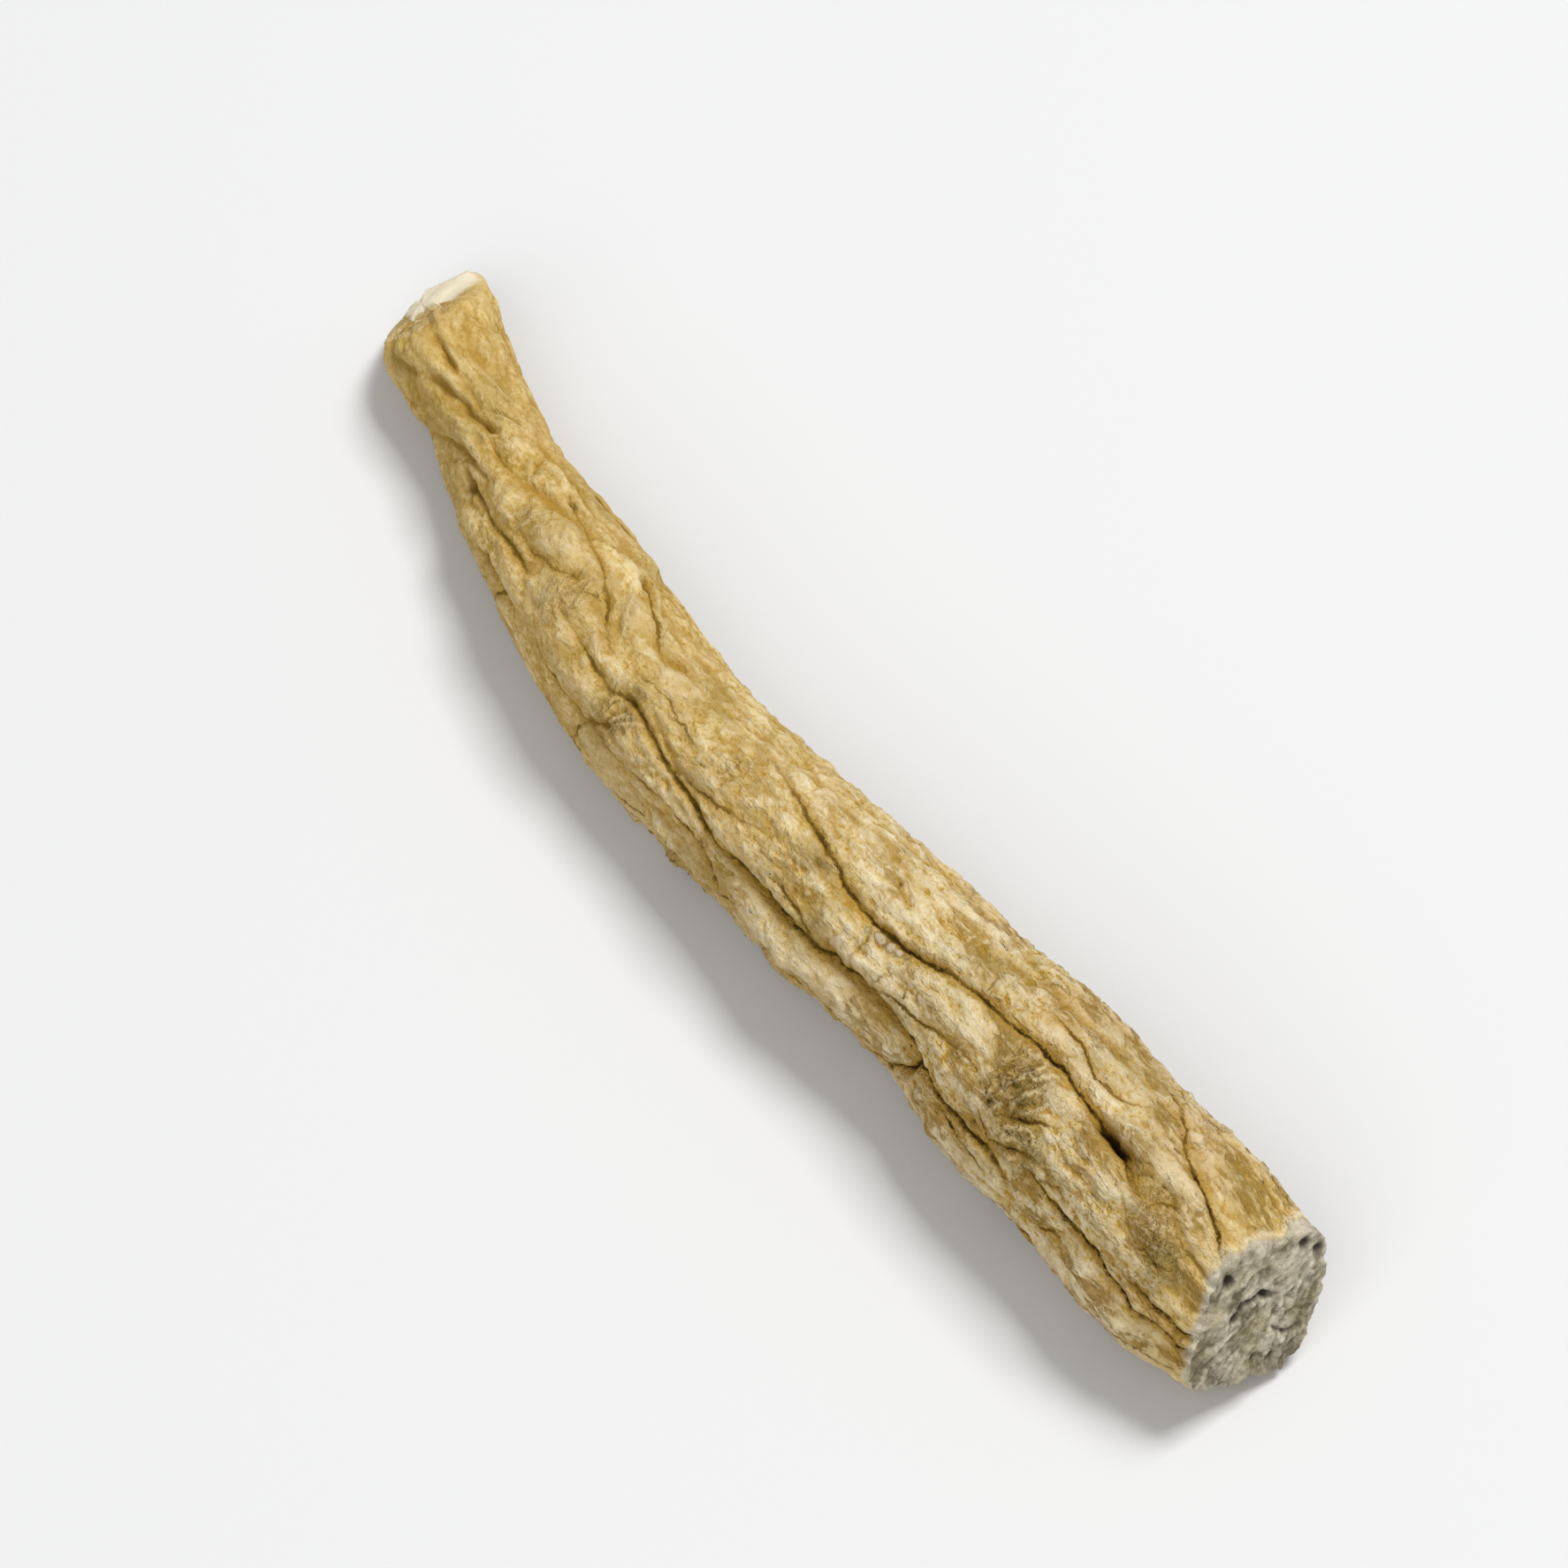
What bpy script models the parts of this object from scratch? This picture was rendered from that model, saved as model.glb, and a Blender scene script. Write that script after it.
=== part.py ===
"""A cut codonopsis root: one dried length of taproot, lying on its side.

The root runs along +X from its thin far end to its thick near end. It is one solid, a loft of
closed rings along a bent middle line, capped at both cut ends. The radius of each ring takes
the root's taper, its swellings, its creases and its scars from the lists below. The thin end
is cut on a steep slant and the thick end nearly square. The lowest points of the underside
are pared flat at z = 0, where the root touches the surface that it lies on.

Lengths in the lists are in millimetres. A run is measured along +X from the thin end. An
angle goes round the root in degrees, from +Y over the top, which is 90, to -Y at 180.
"""

import math
import random
from typing import NamedTuple

import bmesh
import bpy
import numpy as np

MM = 0.001
ROOT_NAME = "codonopsis_root"

# Where the two cuts cross the middle line, and how far each cut leans back and turns aside
FAR_CUT_RUN = -1.5
FAR_CUT_LEAN = math.radians(42)
FAR_CUT_TURN = math.radians(18)
NEAR_CUT_RUN = 62.4
NEAR_CUT_LEAN = math.radians(15)
# How far from each cut the rings take to turn upright
LEAN_REACH = 15.0

# The middle line in plan, as (run, sideways), and the root's half width, as (run, half width)
MIDDLE_LINE = (
    (-4.0, 0.65), (0.0, -0.1), (6.4, -1.35), (12.6, -2.55), (18.7, -3.35), (23.5, -3.6),
    (28.2, -3.35), (34.4, -2.75), (40.7, -1.85), (47.1, -1.2), (56.5, -0.5), (60.0, -0.1),
    (65.0, 0.55),
)
GIRTH = (
    (-4.0, 2.65), (0.0, 2.7), (4.0, 2.6), (8.0, 2.75), (12.6, 3.12), (16.5, 3.5),
    (21.0, 3.7), (27.0, 3.62), (31.3, 3.85), (36.0, 3.98), (42.5, 4.0), (45.0, 4.2),
    (48.0, 4.42), (53.0, 4.55), (58.0, 4.42), (61.0, 3.95), (65.0, 3.5),
)
# A section's height over its width, and how far its three and five soft corners stand out
HEIGHT_SHARE = 0.93
CORNERS = ((3, 0.022, 0.011, 0.4), (5, 0.014, -0.017, 2.1))
# The thick end grows into a soft square: its share of the radius, first corner and reach
SQUARE_SHARE = 0.09
SQUARE_ANGLE = math.radians(15)
SQUARE_REACH = 9.0
# How high the underside clears the surface, as (run, clearance). Below 0 it is pared flat
CLEARANCE = (
    (-4.0, 0.6), (2.0, 0.3), (7.0, -0.2), (12.0, 0.12), (17.0, 0.12), (23.0, -0.22),
    (30.0, 0.15), (40.0, 0.3), (48.0, 0.1), (54.0, -0.22), (59.0, 0.15), (65.0, 0.7),
)
CONTACT_RUNS = (7.0, 23.0, 54.0)
CONTACT_REACH = 4.5
CONTACT_ANGLE = 32.0

# Low folds all over the skin, as (count round the root, slant, sway, sway pace, height)
FOLDS = (
    (8, 0.05, 1.5, 0.33, 0.13),
    (11, -0.04, 1.2, 0.47, 0.09),
    (5, 0.09, 1.8, 0.71, 0.08),
)
FOLD_PACE = 0.36

# The loft: rings along the root, corners in a ring, and rings in each cut face
RINGS = 82
SIDES = 64
FACE_RINGS = (0.74, 0.42)
# The waves of a cut face: their height, how many go round, and their turn from rim to middle
FACE_WAVE = 0.09
FACE_WAVE_COUNT = 3
FACE_WAVE_TWIST = 5.0
# The sharpest edge that is still shaded smooth
SMOOTH_EDGE = math.radians(50)

# The power that a crease's walls fall with, and its lips as shares of its depth and half width
CREASE_POWER = 1.6
LIP_HEIGHT = 0.22
LIP_PLACE = 2.1
SAMPLES_PER_MM = 3
# A scar's folds: their share of its height, and how far and how fast they sway
SCAR_FOLD_SHARE = 0.4
SCAR_SWAY = 1.3
SCAR_SWAY_PACE = 2.0

# Long broken furrows of the sides that face away and down, and of the smoother back flank
FURROW_SEED = 11
UNDERSIDE_ANGLES = range(212, 372, 15)
UNDERSIDE_DEPTHS = (0.34, 0.62)
BACK_ANGLES = range(18, 70, 13)
BACK_DEPTHS = (0.14, 0.3)
FURROW_LENGTHS = (9.0, 24.0)
FURROW_HALF_WIDTHS = (0.36, 0.5)
# How far a furrow drifts and wanders, in degrees, how it winds, and its gap to the next one
FURROW_DRIFT = 7.0
FURROW_WANDER = (2.0, 5.0)
FURROW_WINDING = 7.0
FURROW_GAPS = (-2.0, 3.0)
FURROW_STARTS = (-4.0, 3.0)
FURROW_SHARES = (0.0, 0.2, 0.4, 0.6, 0.8, 1.0)
FURROW_END_DEPTH = 0.2


class Crease(NamedTuple):
    """A crease in the skin: its half width, and the (run, angle, depth) points it passes."""

    half_width: float
    route: tuple


class Swelling(NamedTuple):
    """A smooth rise of the skin, with its half length along the root and its half breadth."""

    run: float
    angle: float
    half_length: float
    half_breadth: float
    height: float


class Scar(NamedTuple):
    """A crumpled patch: a low rise crossed by small folds, a pitch apart."""

    run: float
    angle: float
    half_length: float
    half_breadth: float
    height: float
    pitch: float


# Long creases of the top and of the near flank, from the thin end to the thick end
LONG_CREASES = (
    Crease(0.5, ((7.8, 146, 0.1), (9.2, 146, 0.65), (10.5, 140, 0.4), (12.0, 142, 0.35),
                 (13.4, 134, 0.5), (14.6, 132, 0.45), (15.6, 129, 0.1))),
    Crease(0.42, ((30.8, 80, 0.1), (32.7, 86, 0.25), (34.6, 94, 0.35), (36.4, 102, 0.35),
                  (38.3, 111, 0.5), (40.5, 112, 0.6), (42.5, 107, 0.45), (44.2, 100, 0.4),
                  (47.0, 99, 0.4), (50.3, 96, 0.5), (52.7, 99, 0.6), (54.3, 101, 0.8),
                  (55.2, 105, 0.6), (57.0, 112, 0.15))),
    Crease(0.5, ((18.5, 121, 0.1), (21.0, 125, 0.3), (22.6, 127, 0.25), (23.7, 120, 0.4),
                 (25.0, 124, 0.4), (26.5, 132, 0.5), (28.0, 136, 0.55), (29.3, 139, 0.45),
                 (31.0, 147, 0.4), (33.0, 148, 0.5), (35.0, 154, 0.85), (37.0, 154, 0.8),
                 (39.0, 152, 0.6), (41.0, 151, 0.85), (43.0, 154, 0.8), (44.2, 153, 0.8),
                 (45.0, 160, 0.95), (44.7, 172, 1.0), (44.0, 184, 0.9), (43.0, 198, 0.4))),
    Crease(0.5, ((45.0, 161, 0.6), (47.0, 168, 0.65), (49.0, 164, 0.55), (50.0, 162, 0.4),
                 (51.5, 166, 0.35), (53.0, 161, 0.15))),
    Crease(0.45, ((51.5, 150, 0.15), (53.0, 152, 0.35), (55.0, 155, 0.6), (56.7, 156, 0.6),
                  (58.0, 163, 0.5), (59.5, 170, 0.5), (62.0, 175, 0.4))),
    Crease(0.4, ((53.4, 52, 0.1), (55.2, 62, 0.25), (56.4, 76, 0.3), (58.0, 82, 0.4),
                 (59.7, 92, 0.45), (61.0, 100, 0.5), (62.8, 102, 0.5))),
    Crease(0.5, ((17.6, 156, 0.1), (20.2, 162, 0.3), (22.6, 160, 0.3), (25.0, 163, 0.25),
                 (27.5, 157, 0.25), (29.6, 160, 0.35), (31.0, 164, 0.45), (32.0, 178, 0.5),
                 (32.5, 192, 0.4), (33.5, 205, 0.2))),
)
# Shorter creases that branch from them or part the lobes
SHORT_CREASES = (
    Crease(0.35, ((1.2, 114, 0.35), (2.6, 108, 0.3), (3.8, 103, 0.1))),
    Crease(0.4, ((3.6, 130, 0.15), (4.3, 122, 0.35), (5.0, 115, 0.3), (6.3, 108, 0.45),
                 (7.1, 99, 0.5), (7.5, 94, 0.1))),
    Crease(0.35, ((7.4, 105, 0.2), (8.8, 104, 0.3), (10.5, 100, 0.2), (11.3, 98, 0.05))),
    Crease(0.35, ((9.7, 64, 0.15), (10.3, 75, 0.35), (10.8, 86, 0.25), (11.0, 93, 0.05))),
    Crease(0.5, ((7.3, 134, 0.2), (6.7, 145, 0.35), (5.9, 160, 0.4), (5.1, 178, 0.45),
                 (4.4, 198, 0.5), (4.2, 215, 0.3))),
    Crease(0.4, ((11.6, 170, 0.2), (13.0, 166, 0.35), (14.4, 161, 0.3), (16.4, 163, 0.15))),
    Crease(0.35, ((13.5, 122, 0.15), (15.0, 117, 0.3), (16.5, 108, 0.3), (17.3, 100, 0.3),
                  (17.1, 91, 0.15))),
    Crease(0.35, ((12.6, 66, 0.25), (14.0, 72, 0.25), (16.3, 78, 0.25), (18.0, 83, 0.3),
                  (19.1, 92, 0.4), (20.3, 103, 0.3), (21.4, 110, 0.1))),
    Crease(0.4, ((18.4, 52, 0.3), (20.5, 67, 0.25), (22.2, 80, 0.2), (23.4, 86, 0.1))),
    Crease(0.4, ((23.4, 138, 0.2), (23.4, 149, 0.35), (22.6, 160, 0.3), (22.1, 175, 0.3),
                 (21.9, 195, 0.2))),
    Crease(0.32, ((28.2, 132, 0.2), (30.5, 126, 0.3), (31.6, 122, 0.3), (32.9, 118, 0.12))),
    Crease(0.38, ((34.2, 136, 0.2), (35.2, 139, 0.35), (36.3, 142, 0.4), (37.3, 149, 0.4))),
    Crease(0.35, ((41.2, 147, 0.4), (42.0, 140, 0.35), (44.2, 138, 0.3), (45.3, 134, 0.3),
                  (46.5, 130, 0.25), (48.5, 131, 0.1))),
    Crease(0.35, ((47.8, 77, 0.1), (50.0, 78, 0.25), (51.6, 85, 0.3), (53.2, 82, 0.3),
                  (53.9, 75, 0.1))),
    Crease(0.35, ((49.6, 141, 0.2), (50.6, 132, 0.35), (51.6, 122, 0.35), (52.4, 119, 0.1))),
    Crease(0.35, ((50.0, 157, 0.3), (51.0, 149, 0.35), (52.0, 143, 0.25), (52.8, 147, 0.1))),
    Crease(0.4, ((50.8, 184, 0.15), (52.8, 180, 0.35), (54.3, 171, 0.35), (55.8, 168, 0.2))),
    Crease(0.32, ((57.5, 120, 0.1), (57.6, 108, 0.25), (58.1, 103, 0.3), (59.8, 104, 0.1))),
    Crease(0.32, ((58.6, 107, 0.1), (59.4, 113, 0.3), (61.0, 117, 0.35), (62.8, 120, 0.45))),
    Crease(0.36, ((57.8, 154, 0.2), (59.5, 157, 0.35), (61.5, 164, 0.5), (62.9, 158, 0.3))),
)
# Lobes of the thin end, plates of the middle and the shoulder beyond the flank's notch
SWELLINGS = (
    Swelling(2.6, 126, 1.6, 1.0, 0.18),
    Swelling(6.9, 122, 1.5, 0.9, 0.2),
    Swelling(8.9, 84, 1.6, 1.0, 0.28),
    Swelling(11.2, 117, 2.0, 0.8, 0.2),
    Swelling(15.1, 97, 1.9, 0.85, 0.34),
    Swelling(15.6, 146, 2.4, 0.7, 0.22),
    Swelling(20.4, 84, 1.7, 0.9, 0.22),
    Swelling(19.9, 113, 1.4, 0.75, 0.2),
    Swelling(20.6, 139, 1.8, 0.7, 0.2),
    Swelling(27.0, 105, 3.2, 1.3, 0.12),
    Swelling(31.6, 134, 2.4, 0.8, 0.22),
    Swelling(38.5, 88, 5.0, 1.6, 0.14),
    Swelling(43.5, 124, 4.0, 1.2, 0.2),
    Swelling(39.0, 170, 4.5, 1.0, 0.22),
    Swelling(48.5, 192, 2.6, 1.6, 0.36),
    Swelling(54.5, 134, 2.6, 1.2, 0.16),
    Swelling(56.5, 92, 2.8, 0.8, 0.14),
    Swelling(58.6, 200, 3.0, 1.4, 0.42),
    Swelling(62.6, 14, 0.9, 1.6, 0.35),
    Swelling(27.0, 38, 5.5, 1.3, 0.2),
    Swelling(45.5, 52, 4.5, 1.4, 0.18),
)
SCARS = (
    Scar(50.0, 133, 1.7, 1.6, 0.3, 1.5),
    Scar(57.9, 111, 0.9, 1.1, 0.18, 1.3),
    Scar(59.4, 129, 1.2, 0.9, 0.2, 1.2),
    Scar(17.8, 112, 0.9, 1.4, 0.16, 1.3),
    Scar(23.5, 137, 1.0, 1.7, -0.18, 1.6),
    Scar(12.0, 20, 1.0, 1.8, 0.22, 1.5),
    Scar(29.0, 222, 1.1, 1.9, 0.24, 1.6),
    Scar(36.5, 305, 1.2, 2.2, 0.26, 1.7),
    Scar(41.0, 28, 1.1, 1.9, 0.22, 1.6),
    Scar(15.5, 318, 1.0, 1.8, 0.24, 1.5),
    Scar(50.5, 236, 1.2, 2.0, 0.24, 1.6),
    Scar(57.0, 342, 1.1, 2.2, 0.24, 1.6),
)


def clear_scene():
    """Empties the scene, with the meshes of what it held."""
    for old in list(bpy.data.objects):
        bpy.data.objects.remove(old, do_unlink=True)
    for mesh in list(bpy.data.meshes):
        bpy.data.meshes.remove(mesh)


def new_collection(name):
    """A collection of this name in the scene."""
    collection = bpy.data.collections.new(name)
    bpy.context.scene.collection.children.link(collection)
    return collection


def new_material(name, colour, roughness):
    """A material of one Principled shader."""
    material = bpy.data.materials.new(name)
    material.use_nodes = True
    material.diffuse_color = (*colour, 1.0)
    shader = material.node_tree.nodes["Principled BSDF"]
    shader.inputs["Base Color"].default_value = (*colour, 1.0)
    shader.inputs["Roughness"].default_value = roughness
    shader.inputs["Metallic"].default_value = 0.0
    return material


def smooth_between(knots, at):
    """The knots' second column at each place, on a smooth curve that stays flat past its ends."""
    places, values = np.asarray(knots, float)[:, :2].T
    slopes = np.gradient(values, places)
    index = np.clip(np.searchsorted(places, at, side="right") - 1, 0, len(places) - 2)
    gap = places[index + 1] - places[index]
    share = np.clip((at - places[index]) / gap, 0.0, 1.0)
    rise = share * share * (3.0 - 2.0 * share)
    leave = share * (1.0 - share) ** 2 * gap * slopes[index]
    arrive = share * share * (share - 1.0) * gap * slopes[index + 1]
    return values[index] + rise * (values[index + 1] - values[index]) + leave + arrive


def smooth_route(route):
    """Points along a crease, close together, on a smooth curve through the ones given."""
    route = np.asarray(route, float)
    radius = smooth_between(GIRTH, route[:, 0])
    across = np.radians(route[:, 1]) * radius
    steps = np.hypot(np.diff(route[:, 0]), np.diff(across))
    length = np.concatenate([[0.0], np.cumsum(steps)])
    at = np.linspace(0.0, length[-1], int(length[-1] * SAMPLES_PER_MM) + 2)
    columns = [smooth_between(np.column_stack([length, route[:, i]]), at) for i in range(3)]
    return np.column_stack(columns)


def turn_between(angle, other):
    """The angle from other to angle, the short way round, in radians."""
    return (np.radians(angle - other) + math.pi) % math.tau - math.pi


def crease_relief(creases, run, angle):
    """How far the creases sink or lift the skin: the deepest one counts where they cross."""
    radius = smooth_between(GIRTH, run)
    depth = np.zeros_like(run)
    lips = np.zeros_like(run)
    for crease in creases:
        route = smooth_route(crease.route)
        along = run[:, None] - route[None, :, 0]
        across = radius[:, None] * turn_between(angle[:, None], route[None, :, 1])
        distance = np.hypot(along, across)
        nearest = distance.argmin(axis=1)
        away = distance[np.arange(len(run)), nearest] / crease.half_width
        deepest = route[nearest, 2]
        depth = np.maximum(depth, deepest * np.exp(-np.abs(away) ** CREASE_POWER))
        lip = LIP_HEIGHT * deepest * np.exp(-((away - LIP_PLACE) ** 2))
        lips = np.maximum(lips, lip)
    return lips - depth


def patch_share(patch, run, angle):
    """How far each point is from a patch's middle along and round the root, in half sizes."""
    radius = smooth_between(GIRTH, run)
    along = (run - patch.run) / patch.half_length
    across = radius * turn_between(angle, patch.angle) / patch.half_breadth
    return along, across


def swelling_relief(run, angle):
    """How far the swellings lift the skin."""
    lift = np.zeros_like(run)
    for swelling in SWELLINGS:
        along, across = patch_share(swelling, run, angle)
        lift += swelling.height * np.exp(-((along**2 + across**2) ** 1.5))
    return lift


def scar_relief(run, angle):
    """How far the crumpled patches lift the skin, with their folds running round the root."""
    lift = np.zeros_like(run)
    for scar in SCARS:
        along, across = patch_share(scar, run, angle)
        sway = SCAR_SWAY * np.sin(SCAR_SWAY_PACE * across)
        folds = SCAR_FOLD_SHARE * np.cos(math.tau * (run - scar.run) / scar.pitch + sway)
        edge = np.exp(-(along**4 + across**4))
        lift += scar.height * (1.0 - SCAR_FOLD_SHARE + folds) * edge
    return lift


def fold_relief(run, angle):
    """How far the low folds lift or sink the skin. Each one comes and goes along the root."""
    turn = np.radians(angle)
    lift = np.zeros_like(run)
    for count, slant, sway, pace, height in FOLDS:
        swayed = sway * np.sin(pace * run + turn)
        fold = np.abs(np.sin(count * turn + swayed + slant * run)) - 2.0 / math.pi
        strength = 0.5 + 0.5 * np.sin(FOLD_PACE * run + 2.0 * turn + count)
        lift += height * strength * fold
    return lift


def furrows(draw, angles, depths):
    """Long broken furrows at these angles, drawn at random between two depths."""
    creases = []
    for middle in angles:
        start = draw.uniform(*FURROW_STARTS)
        while start < NEAR_CUT_RUN:
            length = draw.uniform(*FURROW_LENGTHS)
            depth = draw.uniform(*depths)
            drift = draw.uniform(-FURROW_DRIFT, FURROW_DRIFT)
            wander = draw.uniform(*FURROW_WANDER)
            route = []
            for share in FURROW_SHARES:
                bend = wander * math.sin(FURROW_WINDING * share + drift)
                middle_depth = (1.0 - FURROW_END_DEPTH) * math.sin(math.pi * share) ** 0.5
                route.append((
                    start + share * length,
                    middle + drift * (share - 0.5) + bend,
                    depth * (FURROW_END_DEPTH + middle_depth),
                ))
            creases.append(Crease(draw.uniform(*FURROW_HALF_WIDTHS), tuple(route)))
            start += length - draw.uniform(*FURROW_GAPS)
    return tuple(creases)


def all_creases():
    """Every crease of the skin: those placed by hand, then the furrows of the other sides."""
    draw = random.Random(FURROW_SEED)
    underside = furrows(draw, UNDERSIDE_ANGLES, UNDERSIDE_DEPTHS)
    back = furrows(draw, BACK_ANGLES, BACK_DEPTHS)
    return LONG_CREASES + SHORT_CREASES + underside + back


def contact_share(run, angle):
    """1 on the three low points that the root rests on, falling to 0 around them."""
    below = np.degrees(turn_between(angle, 270.0)) / CONTACT_ANGLE
    share = np.zeros_like(run)
    for middle in CONTACT_RUNS:
        share = np.maximum(share, np.exp(-(((run - middle) / CONTACT_REACH) ** 4) - below**4))
    return share


def fade(distance, reach):
    """1 at a cut, falling smoothly to 0 at this reach from it."""
    share = np.clip(1.0 - distance / reach, 0.0, 1.0)
    return share * share * (3.0 - 2.0 * share)


def radius_at(run, angle):
    """The distance from the middle line to the skin, with all its relief."""
    girth = smooth_between(GIRTH, run)
    corners = np.zeros_like(run)
    for count, height, twist, phase in CORNERS:
        corners += height * np.cos(count * np.radians(angle) + twist * count * run + phase)
    square = np.cos(4.0 * (np.radians(angle) - SQUARE_ANGLE))
    corners += SQUARE_SHARE * square * fade(NEAR_CUT_RUN - run, SQUARE_REACH)
    relief = crease_relief(all_creases(), run, angle)
    relief += swelling_relief(run, angle) + scar_relief(run, angle) + fold_relief(run, angle)
    return girth * (1.0 + corners) + relief * (1.0 - contact_share(run, angle))


def place_on_root(run, angle, radius):
    """Points in the root's own axes, from their run, angle and distance to the middle line."""
    sideways = smooth_between(MIDDLE_LINE, run)
    step = 0.25
    ahead = smooth_between(MIDDLE_LINE, run + step)
    behind = smooth_between(MIDDLE_LINE, run - step)
    heading = np.arctan2(ahead - behind, 2.0 * step)
    height = HEIGHT_SHARE * smooth_between(GIRTH, run) + smooth_between(CLEARANCE, run)
    across = radius * np.cos(np.radians(angle))
    up = HEIGHT_SHARE * radius * np.sin(np.radians(angle))
    return np.column_stack([
        run - across * np.sin(heading),
        sideways + across * np.cos(heading),
        height + up,
    ])


def skin_points():
    """The loft's points, ring by ring. A ring near a cut leans with it."""
    middles = np.linspace(FAR_CUT_RUN, NEAR_CUT_RUN, RINGS)
    angles = np.arange(SIDES) * 360.0 / SIDES
    middle, angle = (grid.ravel() for grid in np.meshgrid(middles, angles, indexing="ij"))
    girth = smooth_between(GIRTH, middle)
    up = HEIGHT_SHARE * girth * np.sin(np.radians(angle))
    across = girth * np.cos(np.radians(angle))
    far_lean = up * math.tan(FAR_CUT_LEAN) - across * math.tan(FAR_CUT_TURN)
    near_lean = up * math.tan(NEAR_CUT_LEAN)
    run = middle + far_lean * fade(middle - FAR_CUT_RUN, LEAN_REACH)
    run -= near_lean * fade(NEAR_CUT_RUN - middle, LEAN_REACH)
    return place_on_root(run, angle, radius_at(run, angle))


def face_points(rim, outward):
    """Rings of points and a middle point that close a cut, with the cut's slight waves."""
    middle = rim.mean(axis=0)
    angles = np.arange(SIDES) * math.tau / SIDES
    points = []
    for share in FACE_RINGS:
        wave = np.sin(FACE_WAVE_COUNT * angles + FACE_WAVE_TWIST * share)
        rise = FACE_WAVE * math.sin(math.pi * share) * wave
        points.append(middle + share * (rim - middle) + rise[:, None] * outward)
    return np.concatenate([*points, middle[None]])


def ring_faces(first, second):
    """Four-sided faces between two rings, given where each ring's points start."""
    faces = []
    for side in range(SIDES):
        after = (side + 1) % SIDES
        faces.append((first + side, first + after, second + after, second + side))
    return faces


def loft_mesh():
    """The root's closed skin with both cut faces, as a mesh in metres."""
    skin = skin_points()
    far_out = np.array([
        -math.cos(FAR_CUT_LEAN) * math.cos(FAR_CUT_TURN),
        -math.cos(FAR_CUT_LEAN) * math.sin(FAR_CUT_TURN),
        math.sin(FAR_CUT_LEAN),
    ])
    near_out = np.array([math.cos(NEAR_CUT_LEAN), 0.0, math.sin(NEAR_CUT_LEAN)])
    far_face = face_points(skin[:SIDES], far_out)
    near_face = face_points(skin[-SIDES:], near_out)
    points = np.concatenate([skin, far_face, near_face])
    low, high = points.min(axis=0), points.max(axis=0)
    points[:, :2] -= (low[:2] + high[:2]) / 2.0

    skin_faces = []
    for ring in range(RINGS - 1):
        skin_faces += ring_faces((ring + 1) * SIDES, ring * SIDES)
    cut_faces = []
    for rim, start, flipped in (
        (0, len(skin), False),
        (len(skin) - SIDES, len(skin) + len(far_face), True),
    ):
        rings = [rim] + [start + k * SIDES for k in range(len(FACE_RINGS))]
        centre = start + len(FACE_RINGS) * SIDES
        faces = []
        for outer, inner in zip(rings, rings[1:]):
            faces += ring_faces(outer, inner)
        last = rings[-1]
        faces += [(last + side, last + (side + 1) % SIDES, centre) for side in range(SIDES)]
        cut_faces += [face[::-1] for face in faces] if flipped else faces

    mesh = bpy.data.meshes.new(ROOT_NAME)
    shape = bmesh.new()
    corners = [shape.verts.new(point) for point in points * MM]
    for face in skin_faces:
        shape.faces.new([corners[i] for i in face])
    for face in cut_faces:
        shape.faces.new([corners[i] for i in face]).material_index = 1
    bmesh.ops.recalc_face_normals(shape, faces=shape.faces)
    shape.to_mesh(mesh)
    shape.free()
    return mesh


def paring_cutter(collection):
    """A block whose top is the surface that the root lies on, to pare its low points flat."""
    size = 2.0 * NEAR_CUT_RUN * MM
    bpy.ops.mesh.primitive_cube_add(size=size, location=(0.0, 0.0, -size / 2.0))
    cutter = bpy.context.object
    cutter.name = "paring_cutter"
    for holder in list(cutter.users_collection):
        holder.objects.unlink(cutter)
    collection.objects.link(cutter)
    cutter.hide_render = True
    cutter.display_type = "WIRE"
    return cutter


def build_root():
    """The finished root: lofted, coloured and pared flat where it rests."""
    parts = new_collection(ROOT_NAME)
    cutters = new_collection("cutters")
    mesh = loft_mesh()
    mesh.materials.append(new_material("dried_skin", (0.56, 0.42, 0.22), 0.85))
    mesh.materials.append(new_material("chalky_flesh", (0.74, 0.71, 0.64), 0.95))
    root = bpy.data.objects.new(ROOT_NAME, mesh)
    parts.objects.link(root)
    mesh.shade_smooth()
    mesh.set_sharp_from_angle(angle=SMOOTH_EDGE)
    paring = root.modifiers.new("paring", "BOOLEAN")
    paring.operation = "DIFFERENCE"
    paring.solver = "EXACT"
    paring.object = paring_cutter(cutters)
    return root


clear_scene()
build_root()
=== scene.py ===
"""Dresses the cut codonopsis root: its wrinkled skin, its two chalky cuts and a plain studio.

The frame is in metres. Inside this script the root is measured in millimetres: a run goes along it
from the thin end, an angle goes round it in degrees, from +Y over the top, which is 90, to -Y at
180, and a radius goes from its middle line out to the skin.
"""

import itertools
import logging
import math
from collections.abc import Mapping, Sequence
from dataclasses import dataclass, field
from enum import Enum, IntEnum
from functools import cached_property
from typing import NamedTuple

import bpy
import numpy as np
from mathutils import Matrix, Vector
from mathutils.bvhtree import BVHTree
from mathutils.kdtree import KDTree


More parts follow.
